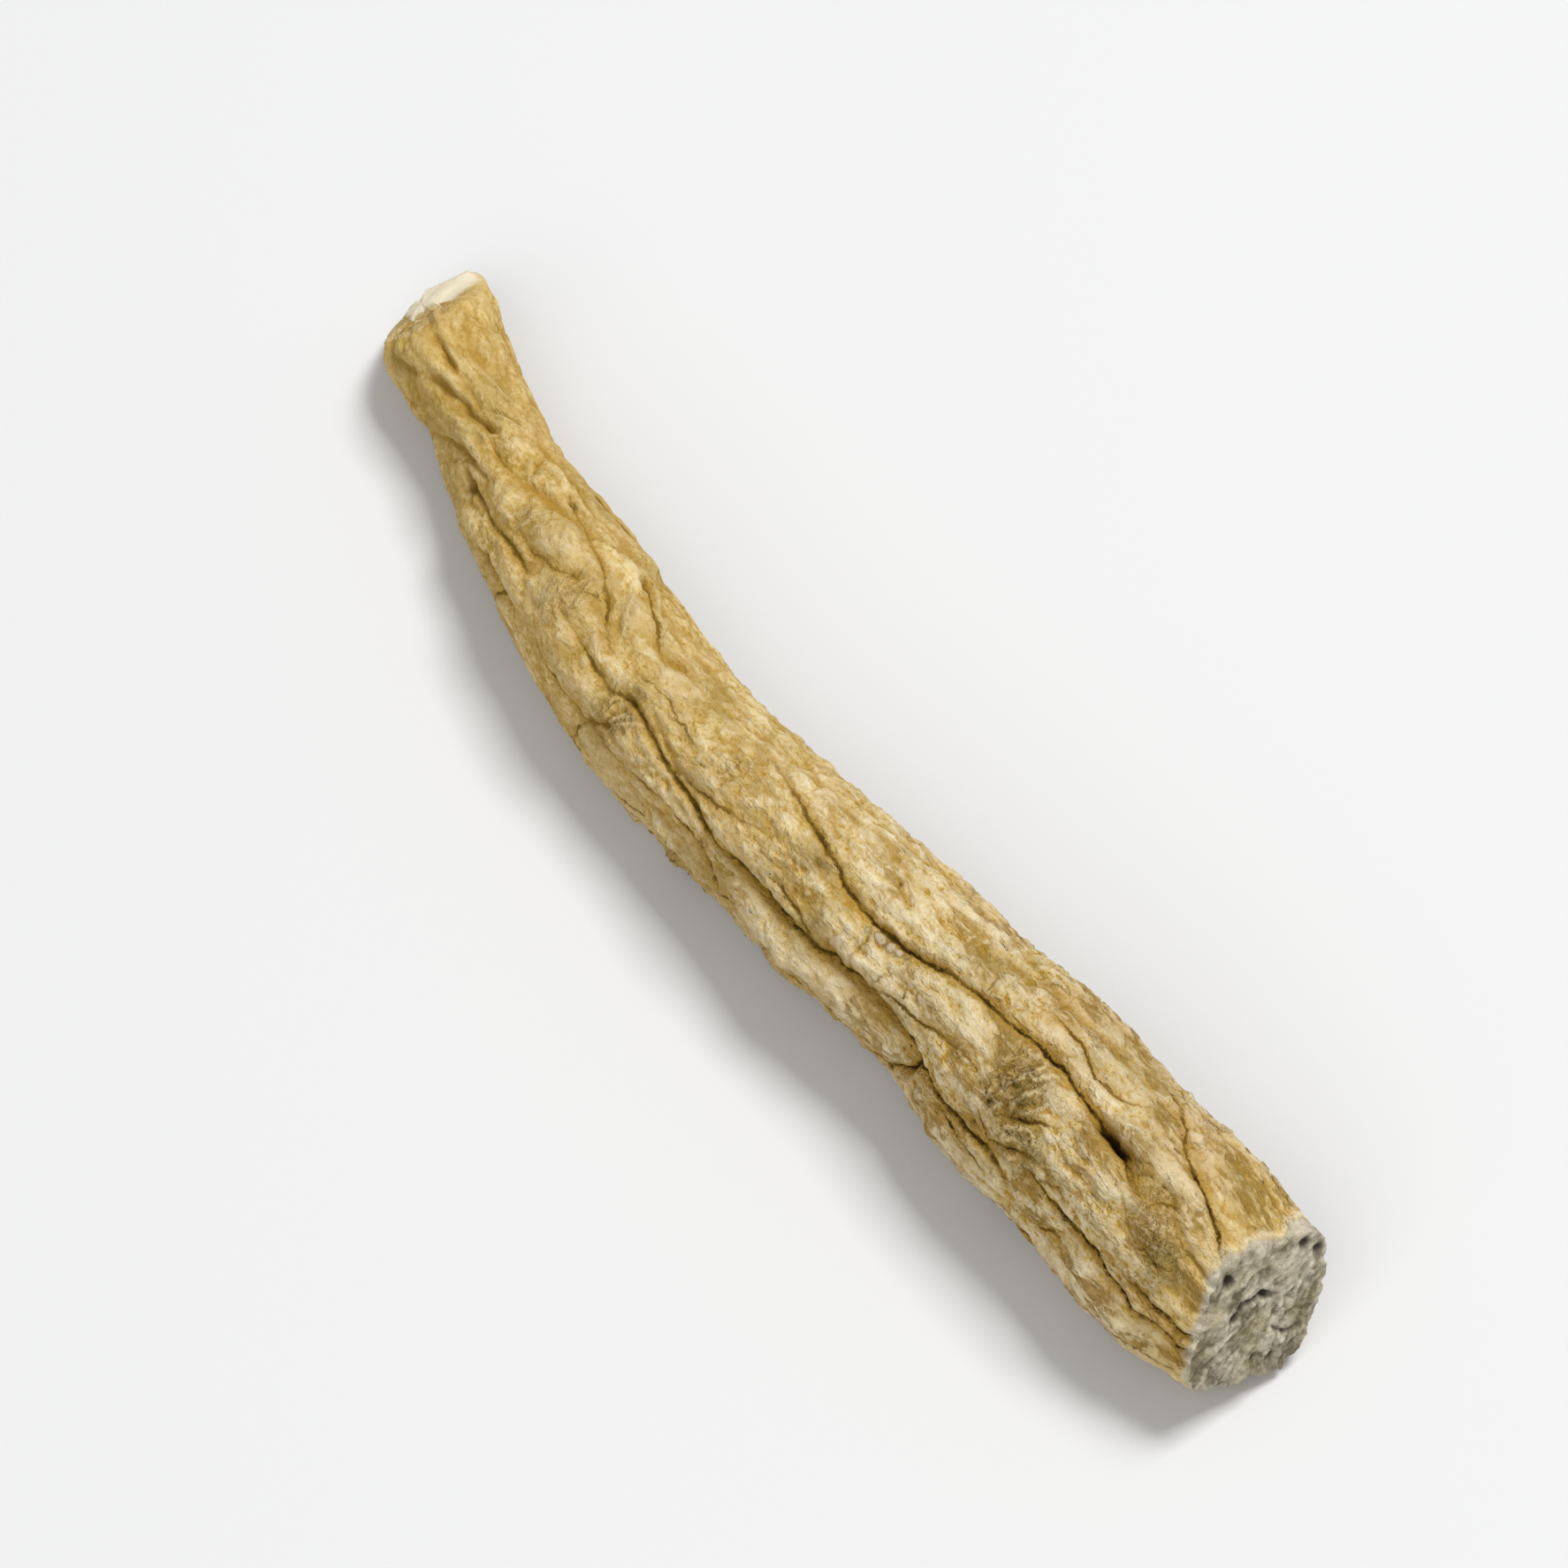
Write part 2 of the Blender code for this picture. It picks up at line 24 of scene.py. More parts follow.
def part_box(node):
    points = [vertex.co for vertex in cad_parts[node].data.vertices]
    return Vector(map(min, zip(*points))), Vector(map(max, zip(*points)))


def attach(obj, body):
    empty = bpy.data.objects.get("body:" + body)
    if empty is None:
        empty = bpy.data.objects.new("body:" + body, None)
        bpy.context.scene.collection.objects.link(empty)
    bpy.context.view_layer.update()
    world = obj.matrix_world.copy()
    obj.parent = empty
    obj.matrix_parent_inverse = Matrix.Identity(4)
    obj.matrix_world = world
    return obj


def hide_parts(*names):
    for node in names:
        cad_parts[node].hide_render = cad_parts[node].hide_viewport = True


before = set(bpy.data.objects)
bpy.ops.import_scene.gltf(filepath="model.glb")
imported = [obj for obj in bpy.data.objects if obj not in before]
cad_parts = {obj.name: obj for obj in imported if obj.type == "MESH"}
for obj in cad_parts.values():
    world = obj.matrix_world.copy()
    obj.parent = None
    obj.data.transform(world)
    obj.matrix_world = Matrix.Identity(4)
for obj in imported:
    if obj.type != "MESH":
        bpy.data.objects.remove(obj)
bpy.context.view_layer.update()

MM = 0.001
FULL_TURN = 360.0
NODE = "codonopsis_root"
# The runs that marks at random places keep to
SKIN_RUNS = (1.0, 61.0)
Colour = tuple[float, float, float, float]
Pair = tuple[float, float]
log = logging.getLogger("root")


class Cut(Enum):
    """The root's two cut ends, each with the way it faces along X."""

    THIN = -1
    THICK = 1


class Kind(Enum):
    """The kinds of strokes in the skin, each with what the names of its shapes begin with."""

    LONG = "long"
    SHORT = "short"
    SOFT = "soft"
    WELT = "welt"


class Seed(IntEnum):
    """Where each noise and each draw starts, so that all are the same on each run."""

    SWAY_RUN = 21
    FINE_SWAY_RUN = 22
    SWAY_ANGLE = 23
    FINE_SWAY_ANGLE = 24
    HIDDEN_FURROWS = 31
    NICKS = 37
    UNEVEN_FURROWS = 41
    FIBRES = 43
    SKIN_EDGE = 55
    WARM_ENDS = 57
    RAGGED_RIM = 61
    CRUMPLE = 71
    FLAKES = 81
    HOLE_SWAY_Y = 87
    HOLE_SWAY_Z = 88
    CRUMBS = 91
    THIN_FLESH = 95
    SWELL = 97


class Furrow(NamedTuple):
    """A furrow in the skin: its half width, and the (run, angle, depth) places that it passes."""

    half_width: float
    route: tuple[tuple[float, float, float], ...]


class Patch(NamedTuple):
    """An oval patch of the skin: its middle, its two half sizes and its height or depth."""

    run: float
    angle: float
    half_length: float
    half_breadth: float
    height: float


class Pleats(NamedTuple):
    """Folds all over a stretch of the skin: their size, their height and the runs between."""

    seed: int
    length: float
    breadth: float
    height: float
    layers: int
    start: float
    stop: float


class Facets(NamedTuple):
    """Papery facets, each tilted its own way: their size, their height and the runs between."""

    seed: int
    length: float
    breadth: float
    height: float
    crease: float
    start: float
    stop: float


class Hole(NamedTuple):
    """A small hollow in a cut, placed from its middle, or a place that its crack passes."""

    y: float
    z: float
    radius: float
    depth: float


# The long furrows of the lit side, from the thin end to the thick end
LONG_FURROWS = (
    Furrow(0.2, ((7.8, 146, 0.1), (9.2, 146, 0.5), (10.5, 140, 0.3), (12.0, 142, 0.3), (13.4, 134, 0.4),
        (14.6, 132, 0.35), (15.6, 129, 0.1))),
    Furrow(0.15, ((30.2, 79, 0.05), (31.0, 81, 0.2), (32.7, 86, 0.3), (34.6, 94, 0.35), (36.4, 102, 0.35),
        (38.3, 111, 0.45), (40.5, 112, 0.55), (42.5, 107, 0.4), (44.2, 100, 0.35), (47.0, 99, 0.35),
        (48.3, 96, 0.45), (50.3, 95, 0.5), (52.7, 98, 0.4), (53.6, 100, 0.6), (54.4, 102, 0.7),
        (55.2, 105, 0.5), (57.0, 112, 0.1))),
    Furrow(0.18, ((18.5, 121, 0.1), (21.0, 125, 0.25), (22.6, 127, 0.2), (23.7, 120, 0.35),
        (25.0, 124, 0.35), (26.5, 132, 0.45), (28.0, 136, 0.5), (29.3, 139, 0.4), (31.0, 147, 0.35),
        (33.0, 148, 0.45), (35.0, 154, 0.6), (37.0, 154, 0.55), (39.0, 152, 0.45), (41.0, 151, 0.6),
        (43.0, 154, 0.6), (44.2, 153, 0.55))),
    Furrow(0.24, ((44.2, 153, 0.4), (45.0, 160, 0.7), (44.7, 172, 0.8), (44.0, 184, 0.7),
        (43.0, 198, 0.3))),
    Furrow(0.2, ((45.0, 161, 0.5), (47.0, 168, 0.55), (49.0, 164, 0.45), (50.0, 162, 0.35),
        (51.5, 166, 0.3), (53.0, 161, 0.1))),
    Furrow(0.18, ((51.5, 150, 0.1), (53.0, 152, 0.3), (55.0, 155, 0.5), (56.7, 156, 0.5),
        (58.0, 163, 0.45), (59.5, 170, 0.45), (63.0, 175, 0.4))),
    Furrow(0.13, ((53.4, 52, 0.1), (55.2, 62, 0.25), (56.4, 76, 0.3), (58.0, 82, 0.35), (59.7, 92, 0.4),
        (61.0, 100, 0.45), (63.4, 102, 0.45))),
    Furrow(0.18, ((17.6, 156, 0.1), (20.2, 162, 0.25), (22.6, 160, 0.25), (25.0, 163, 0.2),
        (27.5, 157, 0.2), (29.6, 160, 0.3), (31.0, 164, 0.35), (32.0, 178, 0.4), (32.5, 192, 0.35),
        (33.5, 205, 0.2))),
)
# The short furrows of the lit side, in the same order
SHORT_FURROWS = (
    Furrow(0.15, ((1.2, 114, 0.25), (2.6, 108, 0.25), (3.8, 103, 0.1))),
    Furrow(0.18, ((3.6, 130, 0.1), (4.3, 122, 0.25), (5.0, 115, 0.25), (6.3, 108, 0.35), (7.1, 99, 0.4),
        (7.5, 94, 0.1))),
    Furrow(0.14, ((7.4, 105, 0.2), (8.8, 104, 0.25), (10.5, 100, 0.2), (11.3, 98, 0.05))),
    Furrow(0.16, ((9.7, 64, 0.1), (10.3, 75, 0.3), (10.8, 86, 0.25), (11.0, 93, 0.05))),
    Furrow(0.2, ((7.3, 134, 0.15), (6.7, 145, 0.25), (5.9, 160, 0.3), (5.1, 178, 0.3), (4.4, 198, 0.25))),
    Furrow(0.18, ((11.6, 170, 0.15), (13.0, 166, 0.3), (14.4, 161, 0.25), (16.4, 163, 0.1))),
    Furrow(0.14, ((13.5, 122, 0.1), (15.0, 117, 0.25), (16.5, 108, 0.25), (17.3, 100, 0.25),
        (17.1, 91, 0.1))),
    Furrow(0.15, ((12.6, 66, 0.2), (14.0, 72, 0.2), (16.3, 78, 0.2), (18.0, 83, 0.25), (19.1, 92, 0.35),
        (20.3, 103, 0.25), (21.4, 110, 0.1))),
    Furrow(0.12, ((18.2, 102, 0.15), (18.6, 97, 0.2), (19.1, 92, 0.25))),
    Furrow(0.16, ((18.4, 52, 0.25), (20.5, 67, 0.2), (22.2, 80, 0.2), (23.4, 86, 0.1))),
    Furrow(0.16, ((23.4, 138, 0.15), (23.4, 149, 0.3), (22.6, 160, 0.25), (22.1, 175, 0.25),
        (21.9, 195, 0.15))),
    Furrow(0.13, ((28.2, 132, 0.15), (30.5, 126, 0.25), (31.6, 122, 0.25), (32.9, 118, 0.1))),
    Furrow(0.15, ((34.2, 136, 0.15), (35.2, 139, 0.3), (36.3, 142, 0.35), (37.3, 149, 0.35))),
    Furrow(0.14, ((41.2, 147, 0.35), (42.0, 140, 0.3), (44.2, 138, 0.25), (45.3, 134, 0.25),
        (46.5, 130, 0.2), (48.5, 131, 0.1))),
    Furrow(0.12, ((47.8, 77, 0.1), (50.0, 78, 0.25), (51.6, 85, 0.3), (53.2, 82, 0.3), (53.9, 75, 0.1))),
    Furrow(0.14, ((49.6, 141, 0.15), (50.6, 132, 0.3), (51.6, 122, 0.3), (52.4, 119, 0.1))),
    Furrow(0.14, ((50.0, 157, 0.25), (51.0, 149, 0.3), (52.0, 143, 0.25), (52.8, 147, 0.1))),
    Furrow(0.18, ((50.8, 184, 0.1), (52.8, 180, 0.3), (54.3, 171, 0.3), (55.8, 168, 0.15))),
    Furrow(0.12, ((57.5, 120, 0.1), (57.6, 108, 0.2), (58.1, 103, 0.25), (59.8, 104, 0.1))),
    Furrow(0.13, ((58.6, 107, 0.1), (59.4, 113, 0.3), (61.0, 117, 0.35), (63.2, 120, 0.4))),
    Furrow(0.15, ((57.8, 154, 0.15), (59.5, 157, 0.3), (61.5, 164, 0.4), (63.2, 158, 0.3))),
    Furrow(0.1, ((55.0, 99, 0.15), (57.0, 100, 0.15), (58.4, 99, 0.05))),
    Furrow(0.12, ((55.0, 104, 0.25), (55.8, 110, 0.3), (57.0, 112, 0.1))),
    Furrow(0.12, ((53.0, 149, 0.2), (53.8, 142, 0.25), (54.4, 148, 0.1))),
    Furrow(0.12, ((54.4, 133, 0.2), (55.2, 130, 0.25), (57.0, 129, 0.1))),
    Furrow(0.16, ((46.8, 171, 0.25), (48.3, 171, 0.35), (50.5, 174, 0.15))),
    Furrow(0.11, ((48.5, 104, 0.15), (48.8, 112, 0.25), (48.8, 118, 0.25), (48.0, 122, 0.1))),
    Furrow(0.12, ((49.0, 147, 0.2), (49.4, 152, 0.3), (49.7, 157, 0.2))),
    Furrow(0.12, ((58.2, 135, 0.2), (58.5, 132, 0.3), (59.3, 133, 0.3), (59.8, 130, 0.3),
        (59.7, 125, 0.25), (61.5, 125, 0.1))),
    Furrow(0.11, ((60.0, 127, 0.15), (61.0, 129, 0.25), (62.4, 131, 0.15))),
    Furrow(0.11, ((53.3, 51, 0.15), (54.3, 57, 0.2))),
    Furrow(0.11, ((50.2, 47, 0.15), (50.6, 53, 0.2))),
    Furrow(0.11, ((45.2, 86, 0.15), (45.4, 92, 0.25))),
    Furrow(0.11, ((43.0, 44, 0.15), (43.3, 50, 0.15))),
    Furrow(0.1, ((23.5, 97, 0.1), (24.2, 101, 0.2), (25.0, 99, 0.2), (25.8, 103, 0.1))),
    Furrow(0.1, ((25.5, 107, 0.1), (26.3, 104, 0.2), (27.2, 108, 0.2), (28.0, 106, 0.1))),
    Furrow(0.1, ((27.6, 98, 0.1), (28.5, 101, 0.2), (29.4, 99, 0.15), (30.2, 102, 0.1))),
    Furrow(0.11, ((39.7, 118, 0.1), (39.8, 126, 0.2), (39.6, 137, 0.2), (39.7, 147, 0.15))),
    Furrow(0.11, ((38.5, 136, 0.1), (38.2, 142, 0.2), (38.3, 148, 0.2))),
    Furrow(0.1, ((40.0, 113, 0.1), (40.3, 118, 0.2), (40.1, 122, 0.1))),
    Furrow(0.13, ((35.2, 180, 0.15), (35.5, 190, 0.25), (34.8, 205, 0.15))),
    Furrow(0.12, ((30.5, 157, 0.15), (31.2, 165, 0.25))),
)
# Small dark pits of the skin
PITS = (
    Patch(2.4, 148, 0.2, 0.2, 0.2),
    Patch(9.2, 151, 0.4, 0.3, 0.35),
    Patch(12.8, 167, 0.25, 0.2, 0.25),
    Patch(13.2, 68, 0.35, 0.25, 0.3),
    Patch(18.7, 57, 0.25, 0.2, 0.25),
    Patch(20.2, 160, 0.25, 0.2, 0.25),
    Patch(22.7, 158, 0.2, 0.2, 0.2),
    Patch(23.5, 148, 0.22, 0.2, 0.25),
    Patch(23.7, 120, 0.25, 0.2, 0.3),
    Patch(35.8, 109, 0.7, 0.35, 0.22),
    Patch(38.8, 81, 0.18, 0.16, 0.25),
    Patch(49.0, 138, 0.25, 0.2, 0.3),
    Patch(49.5, 120, 0.15, 0.15, 0.2),
    Patch(50.0, 64, 0.3, 0.2, 0.2),
    Patch(50.3, 125, 0.18, 0.15, 0.25),
    Patch(54.2, 101.5, 1.2, 0.2, 0.5),
)
# Crumpled scars, where side roots once grew
SCARS = (
    Patch(49.6, 121, 1.3, 1.5, 0.16),
    Patch(51.4, 142, 1.2, 1.0, 0.12),
    Patch(57.9, 111, 1.0, 1.0, 0.08),
    Patch(59.0, 126, 1.2, 0.8, 0.14),
    Patch(17.8, 112, 1.0, 1.4, 0.08),
    Patch(23.5, 137, 1.1, 1.7, 0.09),
    Patch(29.0, 222, 1.2, 1.9, 0.13),
    Patch(36.5, 305, 1.3, 2.2, 0.13),
    Patch(15.5, 318, 1.1, 1.8, 0.11),
    Patch(50.5, 236, 1.3, 2.0, 0.13),
    Patch(57.0, 342, 1.2, 2.2, 0.11),
)
# Soft grooves of the thin end, which no dark line follows
SOFT_FURROWS = (
    Furrow(0.3, ((1.2, 114, 0.1), (1.9, 111, 0.3), (3.2, 107, 0.35), (4.7, 101, 0.3), (7.0, 100, 0.1))),
    Furrow(0.42, ((0.8, 74, 0.1), (1.8, 77, 0.3), (2.9, 80, 0.3), (4.5, 76, 0.3), (5.9, 64, 0.1))),
    Furrow(0.4, ((-0.6, 170, 0.3), (1.0, 164, 0.45), (2.0, 156, 0.35), (2.9, 144, 0.1))),
    Furrow(0.4, ((3.3, 132, 0.1), (4.0, 124, 0.4), (4.6, 118, 0.1))),
    Furrow(0.34, ((5.2, 122, 0.1), (5.8, 115, 0.45), (7.3, 99, 0.45), (8.0, 92, 0.1))),
    Furrow(0.3, ((5.2, 166, 0.1), (5.8, 160, 0.35), (7.2, 136, 0.4), (9.2, 126, 0.3), (10.4, 122, 0.1))),
    Furrow(0.38, ((10.6, 104, 0.1), (11.6, 92, 0.3), (13.0, 84, 0.3), (14.4, 80, 0.1))),
    Furrow(0.36, ((8.2, 62, 0.1), (10.2, 56, 0.3), (12.4, 52, 0.3), (14.5, 54, 0.1))),
    Furrow(0.4, ((20.5, 96, 0.1), (21.8, 84, 0.25), (23.4, 76, 0.3), (25.6, 70, 0.1))),
    Furrow(0.45, ((31.0, 60, 0.1), (34.0, 66, 0.2), (37.5, 70, 0.2), (40.0, 76, 0.1))),
    Furrow(0.5, ((32.0, 148, 0.1), (35.0, 153, 0.35), (39.0, 152, 0.4), (43.0, 154, 0.4),
        (44.6, 160, 0.1))),
    Furrow(0.35, ((52.0, 97, 0.1), (53.6, 100, 0.25), (55.4, 105, 0.25), (57.5, 111, 0.1))),
    Furrow(0.45, ((44.0, 72, 0.1), (47.5, 66, 0.25), (51.0, 62, 0.2), (53.0, 60, 0.1))),
)
# Raised strokes of the skin, as narrow folds, curly fibres and bulges, with heights for depths
WELTS = (
    Furrow(0.24, ((2.2, 106, 0.1), (3.0, 102, 0.3), (3.9, 95, 0.1))),
    Furrow(0.2, ((3.9, 84, 0.1), (4.7, 74, 0.3), (5.7, 65, 0.1))),
    Furrow(0.16, ((5.8, 93, 0.1), (6.4, 80, 0.25), (7.1, 68, 0.1))),
    Furrow(0.12, ((6.2, 94, 0.1), (7.1, 84, 0.2), (7.6, 78, 0.1))),
    Furrow(0.3, ((6.4, 129, 0.1), (7.8, 125, 0.3), (9.0, 121, 0.3), (10.6, 123, 0.1))),
    Furrow(0.15, ((12.2, 130, 0.1), (12.7, 110, 0.2), (13.0, 94, 0.1))),
    Furrow(0.14, ((12.9, 132, 0.1), (13.2, 114, 0.2), (13.6, 97, 0.1))),
    Furrow(0.2, ((17.4, 40, 0.1), (19.4, 52, 0.2), (22.5, 80, 0.1))),
    Furrow(0.3, ((18.8, 68, 0.1), (20.5, 90, 0.25), (22.0, 109, 0.1))),
    Furrow(0.16, ((19.4, 103, 0.1), (20.3, 112, 0.2), (21.4, 118, 0.1))),
    Furrow(0.12, ((23.5, 143, 0.1), (23.9, 131, 0.2), (24.6, 125, 0.1))),
    Furrow(0.12, ((24.0, 140, 0.1), (24.5, 130, 0.2), (25.2, 124, 0.1))),
    Furrow(0.18, ((25.1, 100, 0.1), (26.4, 102, 0.2), (27.4, 108, 0.1))),
    Furrow(0.12, ((28.4, 115, 0.1), (29.0, 113, 0.2), (28.9, 106, 0.1))),
    Furrow(0.12, ((29.0, 112, 0.1), (29.3, 102, 0.2), (30.1, 103, 0.1))),
    Furrow(0.12, ((29.3, 115, 0.1), (29.7, 108, 0.2), (29.6, 100, 0.1))),
    Furrow(0.12, ((30.0, 111, 0.1), (30.4, 101, 0.2), (31.0, 102, 0.1))),
    Furrow(0.12, ((29.1, 93, 0.1), (30.0, 88, 0.2), (30.5, 97, 0.1))),
    Furrow(0.4, ((38.9, 126, 0.1), (38.8, 138, 0.25), (39.0, 150, 0.1))),
    Furrow(0.13, ((48.2, 137, 0.1), (48.8, 133, 0.25), (49.6, 134, 0.25), (49.3, 146, 0.1))),
    Furrow(0.13, ((49.2, 129, 0.1), (49.4, 120, 0.25), (49.8, 111, 0.1))),
    Furrow(0.13, ((49.5, 109, 0.1), (49.9, 110, 0.2), (50.3, 105, 0.1))),
    Furrow(0.12, ((50.1, 132, 0.1), (50.2, 119, 0.25), (50.5, 112, 0.1))),
    Furrow(0.12, ((50.0, 109, 0.1), (50.4, 101, 0.25), (50.8, 96, 0.1))),
    Furrow(0.14, ((50.6, 128, 0.1), (51.0, 118, 0.25), (51.3, 108, 0.1))),
    Furrow(0.16, ((49.8, 154, 0.1), (50.4, 140, 0.3), (51.2, 131, 0.3), (52.3, 134, 0.1))),
    Furrow(0.14, ((50.1, 156, 0.1), (50.9, 142, 0.3), (51.9, 138, 0.25), (52.7, 142, 0.1))),
    Furrow(0.14, ((50.4, 157, 0.1), (51.6, 150, 0.3), (52.5, 148, 0.1))),
    Furrow(0.2, ((52.0, 115, 0.1), (53.0, 114, 0.2), (53.9, 118, 0.1))),
    Furrow(0.42, ((54.9, 139, 0.1), (56.6, 138, 0.25), (58.0, 139, 0.25), (59.5, 139, 0.1))),
    Furrow(0.12, ((57.1, 131, 0.1), (57.5, 124, 0.25), (58.3, 122, 0.1))),
    Furrow(0.12, ((57.9, 130, 0.1), (58.7, 125, 0.25), (59.5, 124, 0.1))),
    Furrow(0.12, ((59.0, 129, 0.1), (59.7, 126, 0.25), (59.9, 121, 0.1))),
    Furrow(0.16, ((60.0, 112, 0.1), (61.4, 114, 0.2), (62.1, 110, 0.1))),
)
# Rounded knobs, and the corners where the ends stand out
KNOBS = (
    Patch(-1.0, 195, 1.0, 0.9, 0.15),
    Patch(-2.2, 222, 1.2, 1.1, 0.42),
    Patch(-2.8, 5, 1.0, 1.2, 0.3),
    Patch(0.9, 152, 0.8, 0.7, 0.12),
    Patch(3.9, 113, 0.4, 0.35, 0.12),
    Patch(8.3, 87, 1.0, 0.9, 0.2),
    Patch(10.3, 83, 0.4, 0.3, 0.1),
    Patch(11.2, 68, 0.9, 0.9, 0.18),
    Patch(15.4, 97, 1.4, 1.0, 0.22),
    Patch(18.2, 93, 0.5, 0.5, 0.12),
    Patch(19.1, 136, 1.0, 0.7, 0.12),
    Patch(22.6, 120, 0.8, 0.7, 0.15),
    Patch(23.7, 106, 0.5, 0.4, 0.12),
    Patch(37.6, 131, 0.7, 0.6, 0.15),
    Patch(61.6, 37, 0.9, 0.8, 0.4),
)
# Places where the thick end is bitten or shrunk
BITES = (
    Patch(63.3, 256, 0.6, 0.5, 0.5),
    Patch(61.6, 56, 0.7, 0.5, 0.2),
    Patch(62.8, 207, 2.6, 1.2, 0.3),
)
# Folds of the skin, from long ones to short ones
PLEATS = (
    Pleats(101, 3.4, 0.95, 0.17, 2, 26.0, 70.0),
    Pleats(111, 2.4, 1.3, 0.09, 2, -9.0, 30.0),
    Pleats(121, 0.95, 0.45, 0.04, 2, -9.0, 36.0),
    Pleats(131, 1.1, 0.5, 0.17, 2, 24.0, 70.0),
)
# Papery facets of the skin, from large ones to small ones
FACETS = (
    Facets(201, 2.9, 1.8, 0.24, 0.035, -9.0, 30.0),
    Facets(205, 4.6, 1.7, 0.28, 0.035, 23.0, 70.0),
    Facets(211, 1.5, 0.95, 0.17, 0.03, -9.0, 70.0),
    Facets(221, 0.75, 0.52, 0.05, 0.02, -9.0, 70.0),
)
# Olive and brown stains of the skin
STAINS = (
    Patch(35.5, 105, 1.2, 0.5, 0.6),
    Patch(52.3, 142, 0.9, 0.9, 0.55),
    Patch(50.0, 118, 0.9, 0.9, 0.25),
    Patch(58.3, 58, 0.8, 0.45, 0.8),
    Patch(59.6, 127, 0.7, 0.7, 0.9),
    Patch(1.2, 165, 1.1, 0.6, 0.5),
    Patch(23.7, 107, 0.5, 0.5, 0.4),
    Patch(37.0, 152, 2.4, 0.4, 0.7),
    Patch(42.4, 150, 1.8, 0.4, 0.7),
)
# Smooth amber patches of the skin
AMBER_PATCHES = (
    Patch(55.9, 106, 0.9, 0.4, 0.9),
    Patch(45.3, 118, 1.2, 1.0, 0.3),
    Patch(61.8, 90, 1.4, 1.0, 0.4),
)
# Pale beads of dried sap along the middle furrow
BEADS = (
    Patch(39.5, 118, 0.18, 0.16, 0.1),
    Patch(40.1, 117, 0.24, 0.22, 0.17),
    Patch(40.7, 116, 0.22, 0.2, 0.15),
    Patch(41.2, 115, 0.24, 0.2, 0.17),
    Patch(41.7, 114, 0.18, 0.16, 0.1),
)
# Pits, cracks and stains of the cut flesh
FLESH_PITS = {
    Cut.THIN: (Hole(-0.9, -0.4, 0.3, 0.15),),
    Cut.THICK: (
        Hole(-1.06, 2.56, 0.26, 0.5),
        Hole(3.59, 0.97, 0.35, 0.3),
        Hole(2.85, 1.76, 0.3, 0.35),
        Hole(-0.61, -1.94, 0.2, 0.2),
        Hole(0.3, -2.61, 0.24, 0.3),
        Hole(-1.2, 0.5, 0.35, 0.12),
    ),
}
FLESH_CRACKS = {
    Cut.THIN: (),
    Cut.THICK: (
        (Hole(-1.2, 0.45, 0.17, 0.5), Hole(-0.7, 0.85, 0.17, 0.9), Hole(0.35, 0.75, 0.17, 0.85),
         Hole(0.85, 0.35, 0.15, 0.2)),
        (Hole(0.5, -1.05, 0.1, 0.08), Hole(1.15, -1.9, 0.12, 0.2), Hole(1.95, -2.2, 0.1, 0.1)),
    ),
}
FLESH_STAINS = {
    Cut.THIN: (),
    Cut.THICK: (
        Hole(0.1, -0.4, 0.5, 0.9),
        Hole(-2.2, 1.4, 0.8, 0.8),
        Hole(-2.8, 0.3, 0.7, 0.6),
        Hole(1.3, 2.2, 0.6, 0.4),
    ),
}


@dataclass(frozen=True)
class GrainNoise:
    """Smooth noise through space, between about -1 and 1, the same on each run."""

    seed: int
    cells: int = 256
    strength: float = 1.7
    push_seed: int = 50

    def at(self, points: np.ndarray) -> np.ndarray:
        """Reads the noise.

        Args:
            points: one point a row, in cells of the noise.

        Returns:
            One value a point.
        """
        draw = np.random.default_rng(self.seed)
        order = draw.permutation(self.cells)
        slopes = draw.normal(size=(self.cells, 3))
        slopes /= np.linalg.norm(slopes, axis=1)[:, None]
        low = np.floor(points).astype(int)
        share = points - low
        ease = share**3 * (share * (share * 6.0 - 15.0) + 10.0)
        total = np.zeros(len(points))
        for corner in itertools.product((0, 1), repeat=3):
            cell = (low + corner) % self.cells
            first = order[cell[:, 0]]
            second = order[(first + cell[:, 1]) % self.cells]
            index = order[(second + cell[:, 2]) % self.cells]
            weight = np.where(corner, ease, 1.0 - ease).prod(axis=1)
            total += weight * ((share - corner) * slopes[index]).sum(axis=1)
        return total * self.strength

    def layers(self, points: np.ndarray, count: int, gain: float = 0.5,
               folded: bool = False) -> np.ndarray:
        """Adds finer and finer noise.

        Args:
            points: one point a row, in cells of the coarsest noise.
            count: how many layers there are.
            gain: each layer's height, as a share of the one before.
            folded: whether what lies below 0 is folded up.

        Returns:
            One value a point.
        """
        total = np.zeros(len(points))
        for layer in range(count):
            values = GrainNoise(self.seed + layer).at(points * 2.0**layer)
            total += gain**layer * (np.abs(values) if folded else values)
        return total

    def pleats(self, points: np.ndarray, count: int, gain: float = 0.5) -> np.ndarray:
        """Adds layers of folded noise, with round tops and sharp valleys, 0 on average."""
        total = self.layers(points, count, gain, True)
        return total - total.mean()

    def push(self, points: np.ndarray, reach: float) -> np.ndarray:
        """Moves points about, up to a reach in cells, so that what is read there is bent."""
        moves = [GrainNoise(self.seed + self.push_seed + axis).layers(points, 2) for axis in range(3)]
        return points + reach * np.column_stack(moves)


def eased(share: np.ndarray) -> np.ndarray:
    """0 below 0, 1 above 1 and a smooth rise between."""
    share = np.clip(share, 0.0, 1.0)
    return share * share * (3.0 - 2.0 * share)


def between(values: np.ndarray, start: float, stop: float, fade: float) -> np.ndarray:
    """1 from start to stop, fading to 0 over a distance centred on each."""
    rise = eased((values - start) / fade + 0.5)
    return rise * eased((stop - values) / fade + 0.5)


